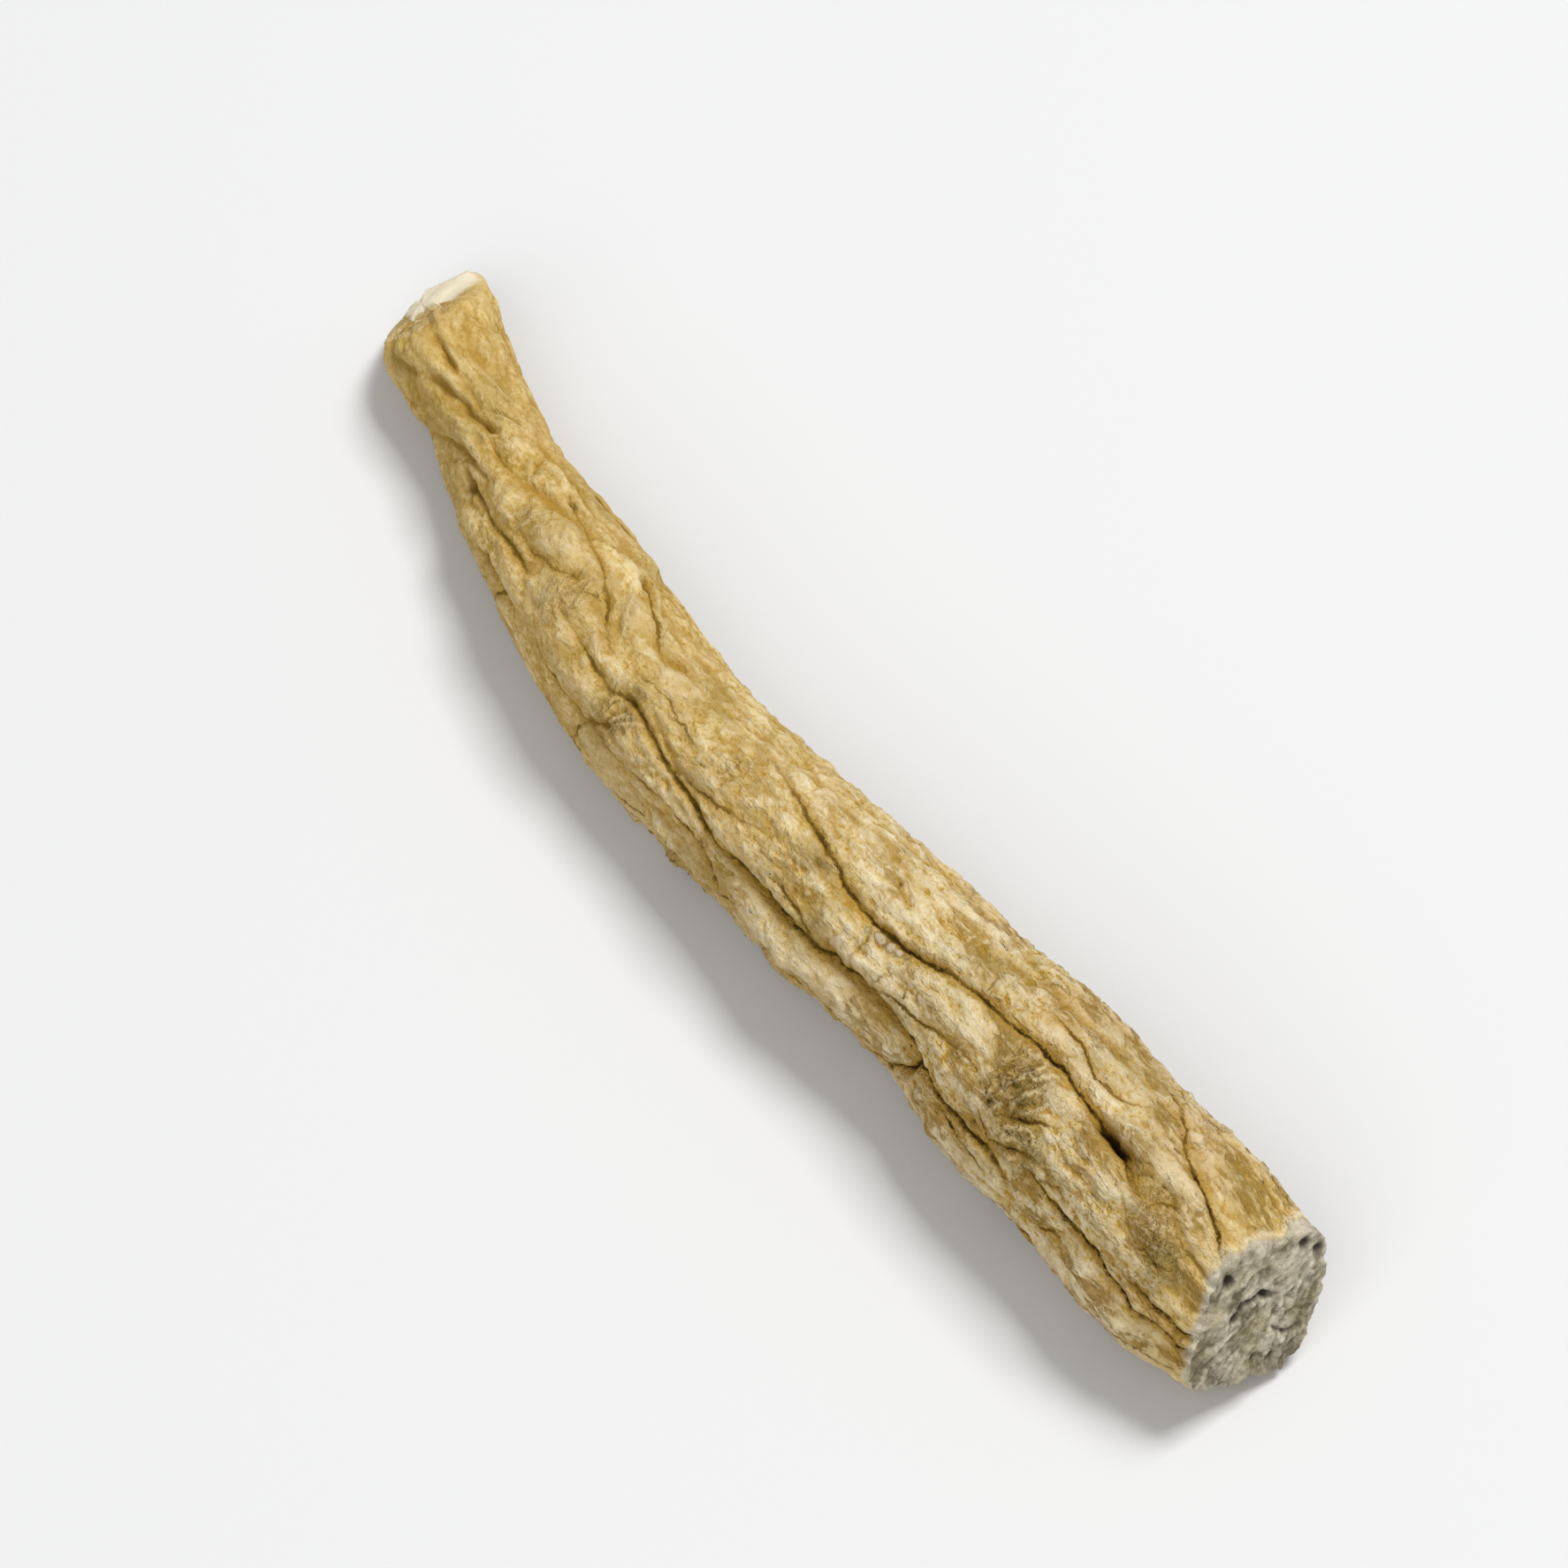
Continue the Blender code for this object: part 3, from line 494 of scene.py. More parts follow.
def turned(angles: np.ndarray, angle: float | np.ndarray) -> np.ndarray:
    """The shortest way round from an angle to others, in degrees."""
    half_turn = FULL_TURN / 2.0
    return (angles - angle + half_turn) % FULL_TURN - half_turn


def blurred(values: np.ndarray, cells: float, axis: int, closed: bool) -> np.ndarray:
    """Smooths a grid along one axis.

    Args:
        values: the grid.
        cells: the blur's reach, in grid cells.
        axis: 0 for along the root, 1 for round it.
        closed: whether the axis runs round and meets itself.

    Returns:
        The smoothed grid, of the same size.
    """
    reach = max(1, math.ceil(3.0 * cells))
    steps = np.arange(-reach, reach + 1)
    weights = np.exp(-0.5 * (steps / cells) ** 2)
    weights /= weights.sum()
    margin = [(0, 0), (0, 0)]
    margin[axis] = (reach, reach)
    padded = np.pad(values, margin, mode="wrap" if closed else "edge")
    total = np.zeros_like(values)
    for step, weight in zip(steps, weights):
        start = reach + step
        stop = start + values.shape[axis]
        part = padded[start:stop] if axis == 0 else padded[:, start:stop]
        total += weight * part
    return total


def beside(ahead: np.ndarray, across: np.ndarray, way_ahead: float | np.ndarray,
           way_across: float | np.ndarray) -> tuple[np.ndarray, np.ndarray, np.ndarray]:
    """Measures places against a straight stretch, from where it starts.

    Args:
        ahead: the places' first measure.
        across: their second measure.
        way_ahead: the first measure of the stretch's end.
        way_across: the second measure of its end.

    Returns:
        The share of the stretch at which it comes nearest, the distance there, and whether each
        place lies on the side that the first measure grows towards.
    """
    share = (ahead * way_ahead + across * way_across) / (way_ahead**2 + way_across**2)
    share = np.clip(share, 0.0, 1.0)
    gap = np.hypot(ahead - share * way_ahead, across - share * way_across)
    return share, gap, ahead * way_across > across * way_ahead


@dataclass
class RootSurvey:
    """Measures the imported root: its middle line, its radius all over and its two cuts."""

    run_at_origin: float = 29.81
    step: float = 0.15
    sides: int = 180
    middle_step: float = 1.0
    middle_blur: float = 2.5
    middle_margin: int = 6
    height_share: float = 0.93
    cut_margin: float = 3.0
    cut_reach: float = 1.6
    cut_rays: int = 9
    drop_reach: float = 6.0
    drop_step: float = 0.5
    centre_rounds: int = 4
    centre_rays: int = 72
    end_margin: float = 1.0
    ray_length: float = 20.0
    girth_blur: float = 1.5
    along_blur: float = 0.42
    round_blur: float = 0.2

    def __post_init__(self) -> None:
        """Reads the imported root's faces and measures them in turn."""
        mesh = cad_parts[NODE].data
        points = [vertex.co / MM for vertex in mesh.vertices]
        self.tree = BVHTree.FromPolygons(points, [tuple(face.vertices) for face in mesh.polygons])
        low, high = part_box(NODE)
        self.low_x = low.x / MM
        self.high_x = high.x / MM
        self.cuts = {cut: self.fit_cut(cut) for cut in Cut}
        self.find_middle()
        self.find_radius()

    def hit(self, start: Sequence[float], way: Sequence[float]) -> Vector | None:
        """The place where a ray from inside the root leaves it, or None."""
        return self.tree.ray_cast(Vector(start), Vector(way), self.ray_length)[0]

    def fit_cut(self, cut: Cut) -> np.ndarray:
        """Fits a plane to a cut, from rays along the root.

        Args:
            cut: which of the two ends.

        Returns:
            The numbers a, b and c of x = a + b y + c z.
        """
        end = self.high_x if cut is Cut.THICK else self.low_x
        inside = end - cut.value * self.cut_margin * 2.0
        centre = self.section_centre(inside, self.first_centre(inside))
        rows = []
        shifts = np.linspace(-self.cut_reach, self.cut_reach, self.cut_rays)
        for y, z in itertools.product(shifts, repeat=2):
            found = self.hit((inside, centre[0] + y, centre[1] + z), (cut.value, 0.0, 0.0))
            if found is not None:
                rows.append(tuple(found))
        spots = np.array(rows)
        level = np.column_stack([np.ones(len(spots)), spots[:, 1], spots[:, 2]])
        return np.linalg.lstsq(level, spots[:, 0], rcond=None)[0]

    def first_centre(self, x: float) -> tuple[float, float]:
        """Finds a place inside the root.

        Args:
            x: where along the frame.

        Returns:
            A y and z halfway between the root's top and the surface below.
        """
        above = 2.0 * self.ray_length
        drops = [self.tree.ray_cast(Vector((x, y, above)), Vector((0, 0, -1)))[0]
                 for y in np.arange(-self.drop_reach, self.drop_reach, self.drop_step)]
        top = max((spot for spot in drops if spot is not None), key=lambda spot: spot.z)
        return top.y, top.z / 2.0

    def section_centre(self, x: float, start: tuple[float, float]) -> tuple[float, float]:
        """Finds the middle of a section, as the middle of the circle that fits its outline best.

        Args:
            x: where the section is.
            start: a y and z inside it.

        Returns:
            Its y and z.
        """
        centre = start
        for _ in range(self.centre_rounds):
            shifts = []
            for turn in np.linspace(0.0, math.tau, self.centre_rays, endpoint=False):
                way = (0.0, math.cos(turn), math.sin(turn))
                found = self.hit((x, *centre), way)
                if found is not None:
                    radius = math.hypot(found.y - centre[0], found.z - centre[1])
                    shifts.append((2.0 * radius * way[1], 2.0 * radius * way[2]))
            shift = np.mean(shifts, axis=0)
            centre = (centre[0] + float(shift[0]), centre[1] + float(shift[1]))
        return centre

    def find_middle(self) -> None:
        """Measures the middle line between the cuts and runs it on straight past them."""
        places = np.arange(self.low_x + self.cut_margin, self.high_x - self.cut_margin, self.middle_step)
        centre = self.first_centre(float(places[0]))
        centres = []
        for x in places:
            centre = self.section_centre(float(x), centre)
            centres.append(centre)
        steps = self.middle_margin
        before = np.arange(-steps, 0)
        after = np.arange(1, steps + 1)
        columns = []
        for values in np.array(centres).T:
            first = (values[steps] - values[0]) / steps
            last = (values[-1] - values[-1 - steps]) / steps
            full = np.concatenate([values[0] + first * before, values, values[-1] + last * after])
            columns.append(blurred(full[:, None], self.middle_blur / self.middle_step, 0, False)[:, 0])
        self.middle_y, self.middle_z = columns
        self.middle_x = places[0] + np.arange(-steps, len(places) + steps) * self.middle_step

    def middle(self, x: np.ndarray) -> tuple[np.ndarray, np.ndarray]:
        """The y and z of the middle line at each x."""
        return np.interp(x, self.middle_x, self.middle_y), np.interp(x, self.middle_x, self.middle_z)

    def find_radius(self) -> None:
        """Measures the radius on a grid of x and turn, and mends it where a ray met a cut."""
        self.grid_x = np.arange(self.low_x - self.end_margin, self.high_x + self.end_margin, self.step)
        turns = np.arange(self.sides) * math.tau / self.sides
        middle_y, middle_z = self.middle(self.grid_x)
        grid = np.full((len(self.grid_x), self.sides), np.nan)
        thin = self.cuts[Cut.THIN]
        thick = self.cuts[Cut.THICK]
        for row, x in enumerate(self.grid_x):
            start = (float(x), float(middle_y[row]), float(middle_z[row]))
            for side, turn in enumerate(turns):
                found = self.hit(start, (0.0, math.cos(turn), math.sin(turn)))
                if found is None:
                    continue
                past_thin = found.x - thin @ (1.0, found.y, found.z)
                past_thick = thick @ (1.0, found.y, found.z) - found.x
                if min(past_thin, past_thick) > self.step:
                    grid[row, side] = math.hypot(found.y - start[1], found.z - start[2])
        for side in range(self.sides):
            known = np.flatnonzero(~np.isnan(grid[:, side]))
            grid[:, side] = np.interp(np.arange(len(grid)), known, grid[known, side])
        rough = blurred(grid, self.along_blur / self.step, 0, False)
        cell = float(grid.mean()) * math.tau / self.sides
        self.radius_grid = blurred(rough, self.round_blur / cell, 1, True)
        self.girth_row = blurred(grid.mean(axis=1)[:, None], self.girth_blur / self.step, 0, False)[:, 0]

    def radius(self, x: np.ndarray, turn: np.ndarray) -> np.ndarray:
        """Reads the measured radius.

        Args:
            x: places along X.
            turn: angles round the middle line, in radians.

        Returns:
            The radius at each.
        """
        last = np.nextafter(len(self.grid_x) - 1.0, 0.0)
        row = np.clip((x - self.grid_x[0]) / self.step, 0.0, last)
        side = turn / math.tau * self.sides % self.sides
        i = row.astype(int)
        j = side.astype(int) % self.sides
        k = (j + 1) % self.sides
        u = row - i
        v = side - np.floor(side)
        first = self.radius_grid[i, j] * (1 - v) + self.radius_grid[i, k] * v
        second = self.radius_grid[i + 1, j] * (1 - v) + self.radius_grid[i + 1, k] * v
        return first * (1 - u) + second * u

    def girth(self, x: np.ndarray) -> np.ndarray:
        """The mean radius at each x."""
        return np.interp(x, self.grid_x, self.girth_row)

    def place(self, x: np.ndarray, turn: np.ndarray, radius: np.ndarray) -> np.ndarray:
        """Points of the frame, in millimetres, from x, turn and radius."""
        middle_y, middle_z = self.middle(x)
        return np.stack([x, middle_y + radius * np.cos(turn), middle_z + radius * np.sin(turn)], axis=-1)

    def run_and_angle(self, x: np.ndarray, turn: np.ndarray,
                      radius: np.ndarray) -> tuple[np.ndarray, np.ndarray]:
        """Finds where on the grown root a place of the skin is.

        Args:
            x: places along X.
            turn: angles round the middle line, in radians.
            radius: distances from the middle line.

        Returns:
            The runs and the angles, in degrees.
        """
        slope = np.interp(x, self.middle_x, np.gradient(self.middle_y, self.middle_step))
        run = x + self.run_at_origin + radius * np.cos(turn) * np.sin(np.arctan(slope))
        angle = np.degrees(np.arctan2(np.sin(turn) / self.height_share, np.cos(turn))) % FULL_TURN
        return run, angle


@dataclass
class SkinGrid:
    """The rows and sides of places on the skin that the root's mesh is laid on."""

    survey: RootSurvey
    rows: int = 484
    sides: int = 180
    lean_reach: float = 14.0
    rim_rounds: int = 12
    ragged_height: float = 0.12
    ragged_cell: float = 0.6
    filling: float = 0.35
    filling_reach: float = 1.1

    def __post_init__(self) -> None:
        """Lays the rows square to the root in its middle and along the cuts at its ends."""
        self.turns = np.arange(self.sides) * math.tau / self.sides
        self.rims = {cut: self.rim(cut) for cut in Cut}
        thin = self.rims[Cut.THIN]
        thick = self.rims[Cut.THICK]
        level = np.linspace(thin.mean(), thick.mean(), self.rows + 1)[:, None]
        thin_share = 1.0 - eased((level - level[0]) / self.lean_reach)
        thick_share = 1.0 - eased((level[-1] - level) / self.lean_reach)
        self.x = level + thin_share * (thin - thin.mean()) + thick_share * (thick - thick.mean())
        self.turn = np.broadcast_to(self.turns, self.x.shape)
        self.girth = self.survey.girth(self.x)
        measured = self.survey.radius(self.x, self.turn)
        hollows = np.maximum(self.smoothed(measured, self.filling_reach) - measured, 0.0)
        self.radius = measured + self.filling * hollows
        self.run, self.angle = self.survey.run_and_angle(self.x, self.turn, self.radius)

    def rim(self, cut: Cut) -> np.ndarray:
        """Finds a cut's slightly ragged rim.

        Args:
            cut: which of the two ends.

        Returns:
            Its x at each side.
        """
        plane = self.survey.cuts[cut]
        x = np.full(self.sides, plane[0])
        for _ in range(self.rim_rounds):
            spots = self.survey.place(x, self.turns, self.survey.radius(x, self.turns))
            x = plane[0] + plane[1] * spots[:, 1] + plane[2] * spots[:, 2]
        ragged = GrainNoise(Seed.RAGGED_RIM + cut.value).layers(spots / self.ragged_cell, 2)
        return x - cut.value * self.ragged_height * np.abs(ragged)

    def smoothed(self, values: np.ndarray, reach: float) -> np.ndarray:
        """Smooths values of the grid both ways.

        Args:
            values: the grid.
            reach: the blur's reach, in millimetres.

        Returns:
            The smoothed grid.
        """
        row = float(self.x[-1].mean() - self.x[0].mean()) / self.rows
        side = float(self.girth.mean()) * math.tau / self.sides
        return blurred(blurred(values, reach / row, 0, False), reach / side, 1, True)

    def flat_spots(self) -> np.ndarray:
        """The skin's places as one point a row, on a plain round rod of the root's girth."""
        spots = (self.run, self.girth * np.cos(self.turn), self.girth * np.sin(self.turn))
        return np.stack([part.ravel() for part in spots], axis=-1)

    def from_rim(self, cut: Cut) -> np.ndarray:
        """How far each place is from a cut's rim, along X."""
        return np.abs(self.x - self.rims[cut])


@dataclass(frozen=True)
class HiddenFurrows:
    """Draws the furrows of the side that lies away, like those of the lit side."""

    start: float = 195.0
    stop: float = 370.0
    spacing: float = 13.0
    first_run: Pair = (-2.0, 6.0)
    last_run: float = 60.0
    sway: Pair = (-4.0, 4.0)
    points: tuple[int, int] = (4, 9)
    steps: Pair = (1.4, 2.6)
    turns: Pair = (-6.0, 6.0)
    depths: Pair = (0.2, 0.5)
    end_depth: float = 0.08
    half_widths: Pair = (0.12, 0.2)
    gaps: Pair = (-1.0, 4.0)
    short_count: int = 34
    short_steps: Pair = (0.2, 1.2)
    short_turns: Pair = (3.0, 11.0)
    short_depths: tuple[float, ...] = (0.1, 0.3, 0.3, 0.1)
    short_half_widths: Pair = (0.1, 0.16)

    def draw(self) -> tuple[list[Furrow], list[Furrow]]:
        """Draws them at seeded places.

        Returns:
            Long furrows, which run along the root, and short ones, which run round it.
        """
        draw = np.random.default_rng(Seed.HIDDEN_FURROWS)
        long = []
        short = []
        for middle in np.arange(self.start, self.stop, self.spacing):
            run = draw.uniform(*self.first_run)
            angle = middle + draw.uniform(*self.sway)
            while run < self.last_run:
                count = int(draw.integers(*self.points))
                runs = run + np.cumsum(draw.uniform(*self.steps, count))
                angles = angle + np.cumsum(draw.uniform(*self.turns, count))
                depths = draw.uniform(*self.depths, count)
                depths[[0, -1]] = self.end_depth
                long.append(Furrow(draw.uniform(*self.half_widths), tuple(zip(runs, angles, depths))))
                run = float(runs[-1]) + draw.uniform(*self.gaps)
        for _ in range(self.short_count):
            run = draw.uniform(*SKIN_RUNS)
            angle = draw.uniform(self.start, self.stop)
            count = len(self.short_depths)
            runs = run + np.cumsum(draw.uniform(*self.short_steps, count))
            turns = np.cumsum(draw.uniform(*self.short_turns, count)) * draw.choice((-1.0, 1.0))
            route = tuple(zip(runs, angle + turns, self.short_depths))
            short.append(Furrow(draw.uniform(*self.short_half_widths), route))
        return long, short


@dataclass(frozen=True)
class Nicks:
    """Draws the tiny marks scattered over the whole skin."""

    count: int = 46
    lengths: Pair = (0.5, 1.4)
    turn: float = 14.0
    depths: Pair = (0.1, 0.2)
    half_widths: Pair = (0.08, 0.12)

    def draw(self) -> list[Furrow]:
        """Draws them at seeded places.

        Returns:
            Short shallow furrows.
        """
        draw = np.random.default_rng(Seed.NICKS)
        made = []
        for _ in range(self.count):
            run = draw.uniform(*SKIN_RUNS)
            angle = draw.uniform(0.0, FULL_TURN)
            lean = draw.uniform(-1.0, 1.0)
            length = draw.uniform(*self.lengths)
            stop = (run + length * (1.0 - abs(lean)), angle + self.turn * lean)
            route = ((run, angle, self.depths[0]), (*stop, self.depths[1]))
            made.append(Furrow(draw.uniform(*self.half_widths), route))
        return made


@dataclass(frozen=True)
class ScarFibres:
    """Draws the curly fibres of the scars, which run across the root."""

    count: int = 10
    half_width: float = 0.12
    height_share: float = 1.4
    end_height: float = 0.02
    spread: float = 20.0
    reaches: Pair = (5.0, 12.0)
    bows: Pair = (-0.3, 0.3)
    leans: Pair = (-0.3, 0.4)

    def draw(self) -> list[Furrow]:
        """Draws them at seeded places.

        Returns:
            Short raised strokes.
        """
        draw = np.random.default_rng(Seed.FIBRES)
        made = []
        for scar in SCARS:
            height = self.height_share * scar.height
            for _ in range(self.count):
                run = scar.run + draw.uniform(-1.0, 1.0) * scar.half_length
                angle = scar.angle + draw.uniform(-self.spread, self.spread) * scar.half_breadth
                reach = draw.uniform(*self.reaches)
                bow = draw.uniform(*self.bows)
                lean = draw.uniform(*self.leans)
                route = ((run, angle - reach, self.end_height), (run + bow + lean / 2.0, angle, height),
                         (run + lean, angle + reach, self.end_height))
                made.append(Furrow(self.half_width, route))
        return made


@dataclass
class SkinRelief:
    """The skin's own furrows, pleats, knobs, scars and pits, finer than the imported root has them."""

    grid: SkinGrid
    furrow_share: float = 0.42
    furrow_width: float = 0.58
    furrow_reach: float = 0.3
    search_share: float = 6.0
    search_margin: float = 0.4
    uneven_cell: float = 1.9
    uneven_gain: float = 0.7
    uneven_depth: float = 0.6
    depth_limits: Pair = (0.3, 1.6)
    uneven_width: float = 0.3
    valley_power: float = 1.4
    lip_place: float = 2.6
    lip_width: float = 1.4
    lip_share: float = 0.3
    low_lip: float = 0.3
    full_lip_width: float = 0.2
    soft_share: float = 0.7
    least_width: float = 0.11
    welt_share: float = 0.5
    welt_sides: float = 0.2
    calm_share: float = 0.45
    calm_depth: float = 0.25
    scar_reach: float = 1.5
    scar_cell: tuple[float, float, float] = (0.45, 0.8, 0.8)
    crumple_push: float = 0.6
    crumple_height: float = 0.3
    pleat_push: float = 0.35
    pleat_gain: float = 0.55
    pleat_seed: int = 9
    pleat_cell: float = 5.0
    pleat_uneven: float = 0.5
    pleat_fade: float = 8.0
    facet_runs: Pair = (-3.0, 66.0)
    facet_turn_scatter: float = 0.45
    facet_run_scatter: float = 0.5
    least_facets: int = 5
    facet_push: float = 0.22
    near_facets: int = 5
    facet_dome: float = 0.8
    facet_tilt: float = 0.5
    facet_lift: float = 0.16
    facet_cell: float = 3.6
    facet_strength: float = 0.85
    facet_uneven: float = 0.55
    facet_limits: Pair = (0.2, 1.4)
    facet_fade: float = 7.0
    crease_width: float = 0.1
    sway: float = 0.12
    sway_cell: float = 0.9
    fine_sway: float = 0.05
    fine_sway_cell: float = 0.28
    skin_thickness: float = 0.1
    shapes: dict[str, np.ndarray] = field(default_factory=dict)

    def __post_init__(self) -> None:
        """Works out every kind of relief in turn."""
        grid = self.grid
        self.spots = grid.flat_spots()
        self.run = grid.run.ravel()
        self.angle = grid.angle.ravel()
        self.girth = grid.girth.ravel()
        self.bend_skin()
        hidden_long, hidden_short = HiddenFurrows().draw()
        self.plough(Kind.LONG, (*LONG_FURROWS, *hidden_long))
        self.plough(Kind.SHORT, (*SHORT_FURROWS, *hidden_short, *Nicks().draw()))
        self.plough(Kind.SOFT, SOFT_FURROWS)
        self.plough(Kind.WELT, (*WELTS, *ScarFibres().draw()))
        self.shapes["pits"] = self.patches(PITS)
        self.shapes["beads"] = self.patches(BEADS)
        self.shapes["knobs"] = self.patches(KNOBS) - self.patches(BITES)
        self.shapes["stains"] = self.patches(STAINS)
        self.shapes["amber"] = self.patches(AMBER_PATCHES)
        self.shapes["scars"] = self.scar_mask()
        self.shapes["crumple"] = self.crumple()
        self.shapes["pleats"] = sum(self.pleat(pleats) for pleats in PLEATS)
        self.shapes["facets"] = np.zeros(len(self.run))
        self.shapes["creases"] = np.zeros(len(self.run))
        for facets in FACETS:
            self.fold(facets)

    def bend_skin(self) -> None:
        """Keeps the runs and angles that furrows are read at, swayed so that no route is straight."""
        coarse = self.spots / self.sway_cell
        fine = self.spots / self.fine_sway_cell
        along = self.sway * GrainNoise(Seed.SWAY_RUN).at(coarse)
        along += self.fine_sway * GrainNoise(Seed.FINE_SWAY_RUN).at(fine)
        across = self.sway * GrainNoise(Seed.SWAY_ANGLE).at(coarse)
        across += self.fine_sway * GrainNoise(Seed.FINE_SWAY_ANGLE).at(fine)
        self.swayed_run = self.run + along
        self.swayed_angle = self.angle + np.degrees(across / self.girth)

    def nearest(self, furrow: Furrow) -> tuple[np.ndarray, np.ndarray, np.ndarray]:
        """Finds how far the places near a furrow are from it.

        Args:
            furrow: the furrow.

        Returns:
            The places near it, their distances from its route, below 0 on one side of it, and its
            depth beside each.
        """
        reach = self.search_share * furrow.half_width + self.search_margin
        runs = [point[0] for point in furrow.route]
        inside = (self.swayed_run > min(runs) - reach) & (self.swayed_run < max(runs) + reach)
        chosen = np.flatnonzero(inside)
        run = self.swayed_run[chosen]
        scale = np.radians(self.girth[chosen])
        gap = np.full(len(chosen), np.inf)
        depth = np.zeros(len(chosen))
        for start, stop in itertools.pairwise(furrow.route):
            ahead = run - start[0]
            across = turned(self.swayed_angle[chosen], start[1]) * scale
            way_across = turned(stop[1], start[1]) * scale
            share, distance, right = beside(ahead, across, stop[0] - start[0], way_across)
            closer = distance < np.abs(gap)
            gap[closer] = np.where(right, distance, -distance)[closer]
            depth[closer] = (start[2] + share * (stop[2] - start[2]))[closer]
        near = np.abs(gap) < reach
        return chosen[near], gap[near], depth[near]

    def plough(self, kind: Kind, furrows: Sequence[Furrow]) -> None:
        """Cuts furrows of one kind, each with a low lip along both sides.

        Args:
            kind: the kind, under which their depths, lips, gaps and strengths are kept.
            furrows: the furrows.
        """
        depths = np.zeros(len(self.run))
        lips = np.zeros(len(self.run))
        gaps = np.ones(len(self.run))
        strengths = np.zeros(len(self.run))
        noise = GrainNoise(Seed.UNEVEN_FURROWS)
        uneven = noise.layers(self.spots / self.uneven_cell, 2, self.uneven_gain)
        for number, furrow in enumerate(furrows):
            chosen, gap, depth = self.nearest(furrow)
            depth = depth * np.clip(1.0 + self.uneven_depth * uneven[chosen], *self.depth_limits)
            width = max(self.furrow_width * furrow.half_width, self.least_width)
            width = width * (1.0 + self.uneven_width * uneven[chosen])
            valley = depth * np.exp(-((np.abs(gap) / width) ** self.valley_power))
            from_lip = (np.abs(gap) - self.lip_place * width) / (self.lip_width * width)
            lip = depth * np.exp(-(from_lip**2))
            lip *= min(1.0, furrow.half_width / self.full_lip_width) ** 2
            lip *= np.where((gap > 0.0) == bool(number % 2), 1.0, self.low_lip)
            strength = depth * np.exp(-((gap / self.furrow_reach) ** 2))
            stronger = strength > strengths[chosen]
            gaps[chosen[stronger]] = gap[stronger]
            strengths[chosen[stronger]] = strength[stronger]
            depths[chosen] = np.maximum(depths[chosen], valley)
            lips[chosen] = np.maximum(lips[chosen], lip)
        self.shapes[f"{kind.value}_depth"] = depths
        self.shapes[f"{kind.value}_lips"] = lips * self.lip_share
        self.shapes[f"{kind.value}_gap"] = gaps
        self.shapes[f"{kind.value}_strength"] = strengths

    def patch_share(self, patch: Patch) -> np.ndarray:
        """Finds how far from a patch's middle the places are.

        Args:
            patch: the patch.

        Returns:
            Each place's distance, 1 being the patch's edge.
        """
        along = (self.swayed_run - patch.run) / patch.half_length
        across = turned(self.swayed_angle, patch.angle) * np.radians(self.girth) / patch.half_breadth
        return np.hypot(along, across)

    def patches(self, patches: Sequence[Patch]) -> np.ndarray:
        """Lays oval patches that fade at their sides.

        Args:
            patches: the patches.

        Returns:
            Their height or depth at each place.
        """
        total = np.zeros(len(self.run))
        for patch in patches:
            total = np.maximum(total, patch.height * np.exp(-(self.patch_share(patch) ** 2)))
        return total

    def scar_mask(self) -> np.ndarray:
        """Marks where the skin is scarred.

        Returns:
            1 in a scar, fading to 0 round it.
        """
        total = np.zeros(len(self.run))
        highest = max(scar.height for scar in SCARS)
        for scar in SCARS:
            inside = eased(self.scar_reach - self.patch_share(scar))
            total = np.maximum(total, scar.height / highest * inside)
        return total

    def crumple(self) -> np.ndarray:
        """The scars' tight curly folds, 0 on average."""
        noise = GrainNoise(Seed.CRUMPLE)
        return noise.pleats(noise.push(self.spots / self.scar_cell, self.crumple_push), 2, 0.6)

    def pleat(self, pleats: Pleats) -> np.ndarray:
        """Folds a stretch of the skin.

        Args:
            pleats: the folds' sizes and where they are.

        Returns:
            Their height at each place.
        """
        noise = GrainNoise(pleats.seed)
        bent = noise.push(self.spots / (pleats.length, pleats.breadth, pleats.breadth), self.pleat_push)
        folded = noise.pleats(bent, pleats.layers, self.pleat_gain)
        strength = GrainNoise(pleats.seed + self.pleat_seed).at(self.spots / self.pleat_cell)
        uneven = 1.0 + self.pleat_uneven * strength
        inside = between(self.run, pleats.start, pleats.stop, self.pleat_fade)
        return pleats.height * folded * uneven * inside

    def fold(self, facets: Facets) -> None:
        """Folds the skin into facets of one size, parted by creases.

        Args:
            facets: the facets' sizes and where they are.
        """
        draw = np.random.default_rng(facets.seed)
        size = (facets.length, facets.breadth, facets.breadth)
        centres = self.facet_centres(facets, draw) / size
        tree = KDTree(len(centres))
        for index, centre in enumerate(centres):
            tree.insert(centre, index)
        tree.balance()
        noise = GrainNoise(facets.seed)
        asked = noise.push(self.spots / size, self.facet_push)
        near = np.array([[found[1] for found in tree.find_n(spot, self.near_facets)] for spot in asked])
        lean = draw.normal(0.0, self.facet_tilt, (len(centres), 3))
        lift = draw.uniform(-self.facet_lift, self.facet_lift, len(centres))
        offset = asked[:, None, :] - centres[near]
        tops = lift[near] + (lean[near] * offset).sum(axis=2) - self.facet_dome * (offset**2).sum(axis=2)
        tops.sort(axis=1)
        crease = np.exp(-(tops[:, -1] - tops[:, -2]) / self.crease_width)
        uneven = self.facet_strength + self.facet_uneven * noise.at(self.spots / self.facet_cell)
        uneven = np.clip(uneven, *self.facet_limits)
        uneven *= between(self.run, facets.start, facets.stop, self.facet_fade)
        height = facets.height * (tops[:, -1] - tops[:, -1].mean()) - facets.crease * crease
        self.shapes["facets"] += uneven * height
        self.shapes["creases"] = np.maximum(self.shapes["creases"], uneven * crease)

